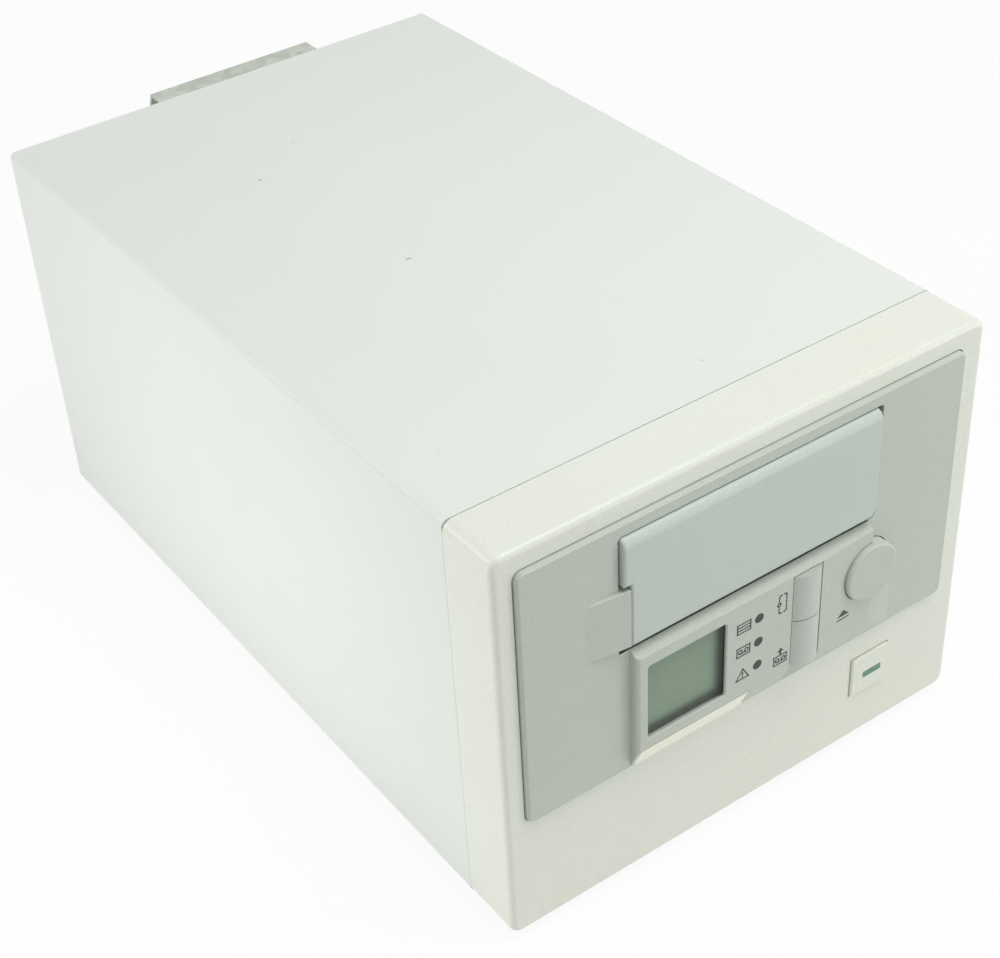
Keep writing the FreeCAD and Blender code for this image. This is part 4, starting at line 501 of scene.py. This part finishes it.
# Socket contacts: two rows of plated brass strips on each bus socket's tongue.
# They are punched from sheet and pressed into the black insert, which they barely stand out of.
contacts, end_room, row_half, proud = 26, 4.0, 1.1, 0.2
tongues_z = (61.0, 85.0)
insert_low, insert_high = (corner * 1000 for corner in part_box("bus_inserts"))
pitch = (insert_high.x - insert_low.x - 2 * end_room) / (contacts - 1)
contact_size = Matrix.Diagonal((0.0005, 0.0006, 0.0004, 1))
mesh = bmesh.new()
for z in tongues_z:
    for k in range(contacts):
        for row in (-row_half, row_half):
            middle = Vector((insert_low.x + end_room + k * pitch, insert_high.y - proud, z + row))
            bmesh.ops.create_cube(mesh, size=1.0, matrix=Matrix.Translation(middle / 1000) @ contact_size)
keep(mesh, "socket_pins", [plated_brass], "case")

# Floor: a sweep of pale matt paper under the object.
# To the camera, and in gloss and glass, it is nearly white and still keeps the contact shadow;
# the object itself is lit by the plain paper.
floor_half, white_share = 3.0, 0.92
mesh = bmesh.new()
bmesh.ops.create_grid(mesh, x_segments=1, y_segments=1, size=floor_half)
data = bpy.data.meshes.new("floor")
mesh.to_mesh(data)
mesh.free()
floor = bpy.data.objects.new("floor", data)
bpy.context.scene.collection.objects.link(floor)
sweep = bpy.data.materials.new("pale_sweep")
sweep.use_nodes = True
tree = sweep.node_tree
tree.nodes.clear()


def seen_directly(tree):
    ray = add(tree, "LightPath", {})
    mirror = add(tree, "Math", {0: ray.outputs["Is Camera Ray"], 1: ray.outputs["Is Glossy Ray"]},
                 operation="MAXIMUM")
    through = add(tree, "Math", {0: mirror.outputs[0], 1: ray.outputs["Is Transmission Ray"]},
                  operation="MAXIMUM")
    return through.outputs[0]


share = add(tree, "Math", {0: seen_directly(tree), 1: white_share}, operation="MULTIPLY")
paper = add(tree, "BsdfDiffuse", {"Color": linear("#f4f4f2")})
glow = add(tree, "Emission", {"Color": linear("#ffffff"), "Strength": 1.0})
mixed = add(tree, "MixShader", {0: share.outputs[0], 1: paper.outputs[0], 2: glow.outputs[0]})
add(tree, "OutputMaterial", {"Surface": mixed.outputs[0]})
data.materials.append(sweep)
floor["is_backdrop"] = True

# Light: an even white surround and four soft lamps: one level with the case's left side,
# one far behind the left that draws the upper left edge, one above the front and one low in front,
# to the right.
world = bpy.data.worlds.new("studio")
bpy.context.scene.world = world
world.use_nodes = True
tree = world.node_tree
tree.nodes.clear()
on_object, as_seen = 0.4, 1.0
power = add(tree, "MapRange", {"Value": seen_directly(tree), "To Min": on_object, "To Max": as_seen})
sky = add(tree, "Background", {"Color": linear("#ffffff"), "Strength": power.outputs[0]})
add(tree, "OutputWorld", {"Surface": sky.outputs[0]})
lamps = {"left_softbox": ((-0.36, -0.015, 0.02), (0, -0.015, 0.02), 0.2, 0.46),
         "edge_softbox": ((-1.19, 0.85, 0.73), (-0.08, -0.13, 0.13), 0.3, 3.8),
         "top_softbox": ((0.15, -0.32, 0.88), (0, -0.05, 0.1), 0.45, 4.1),
         "front_softbox": ((0.65, -0.65, 0.08), (0, -0.14, 0.07), 0.25, 1.55)}
for name, (place, aim, size, watts) in lamps.items():
    lamp = bpy.data.lights.new(name, "AREA")
    lamp.size = size
    lamp.energy = watts
    holder = bpy.data.objects.new(name, lamp)
    holder.location = place
    holder.rotation_euler = (Vector(aim) - Vector(place)).to_track_quat("-Z", "Y").to_euler()
    bpy.context.scene.collection.objects.link(holder)

# Camera: where the photograph was taken from, above the left front corner.
# The lens, place and turn come from the corners of the case and the grey front.
camera_data = bpy.data.cameras.new("photo_camera")
camera_data.lens = 69.977
camera_data.sensor_width = 36.0
camera_data.shift_x = 0.04
camera = bpy.data.objects.new("photo_camera", camera_data)
camera.location = (-0.27046, -0.43014, 0.41948)
camera.rotation_euler = [math.radians(a) for a in (52.892, 3.380, -34.925)]
bpy.context.scene.collection.objects.link(camera)
bpy.context.scene.camera = camera
bpy.context.scene.view_settings.view_transform = "Standard"

low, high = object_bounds()
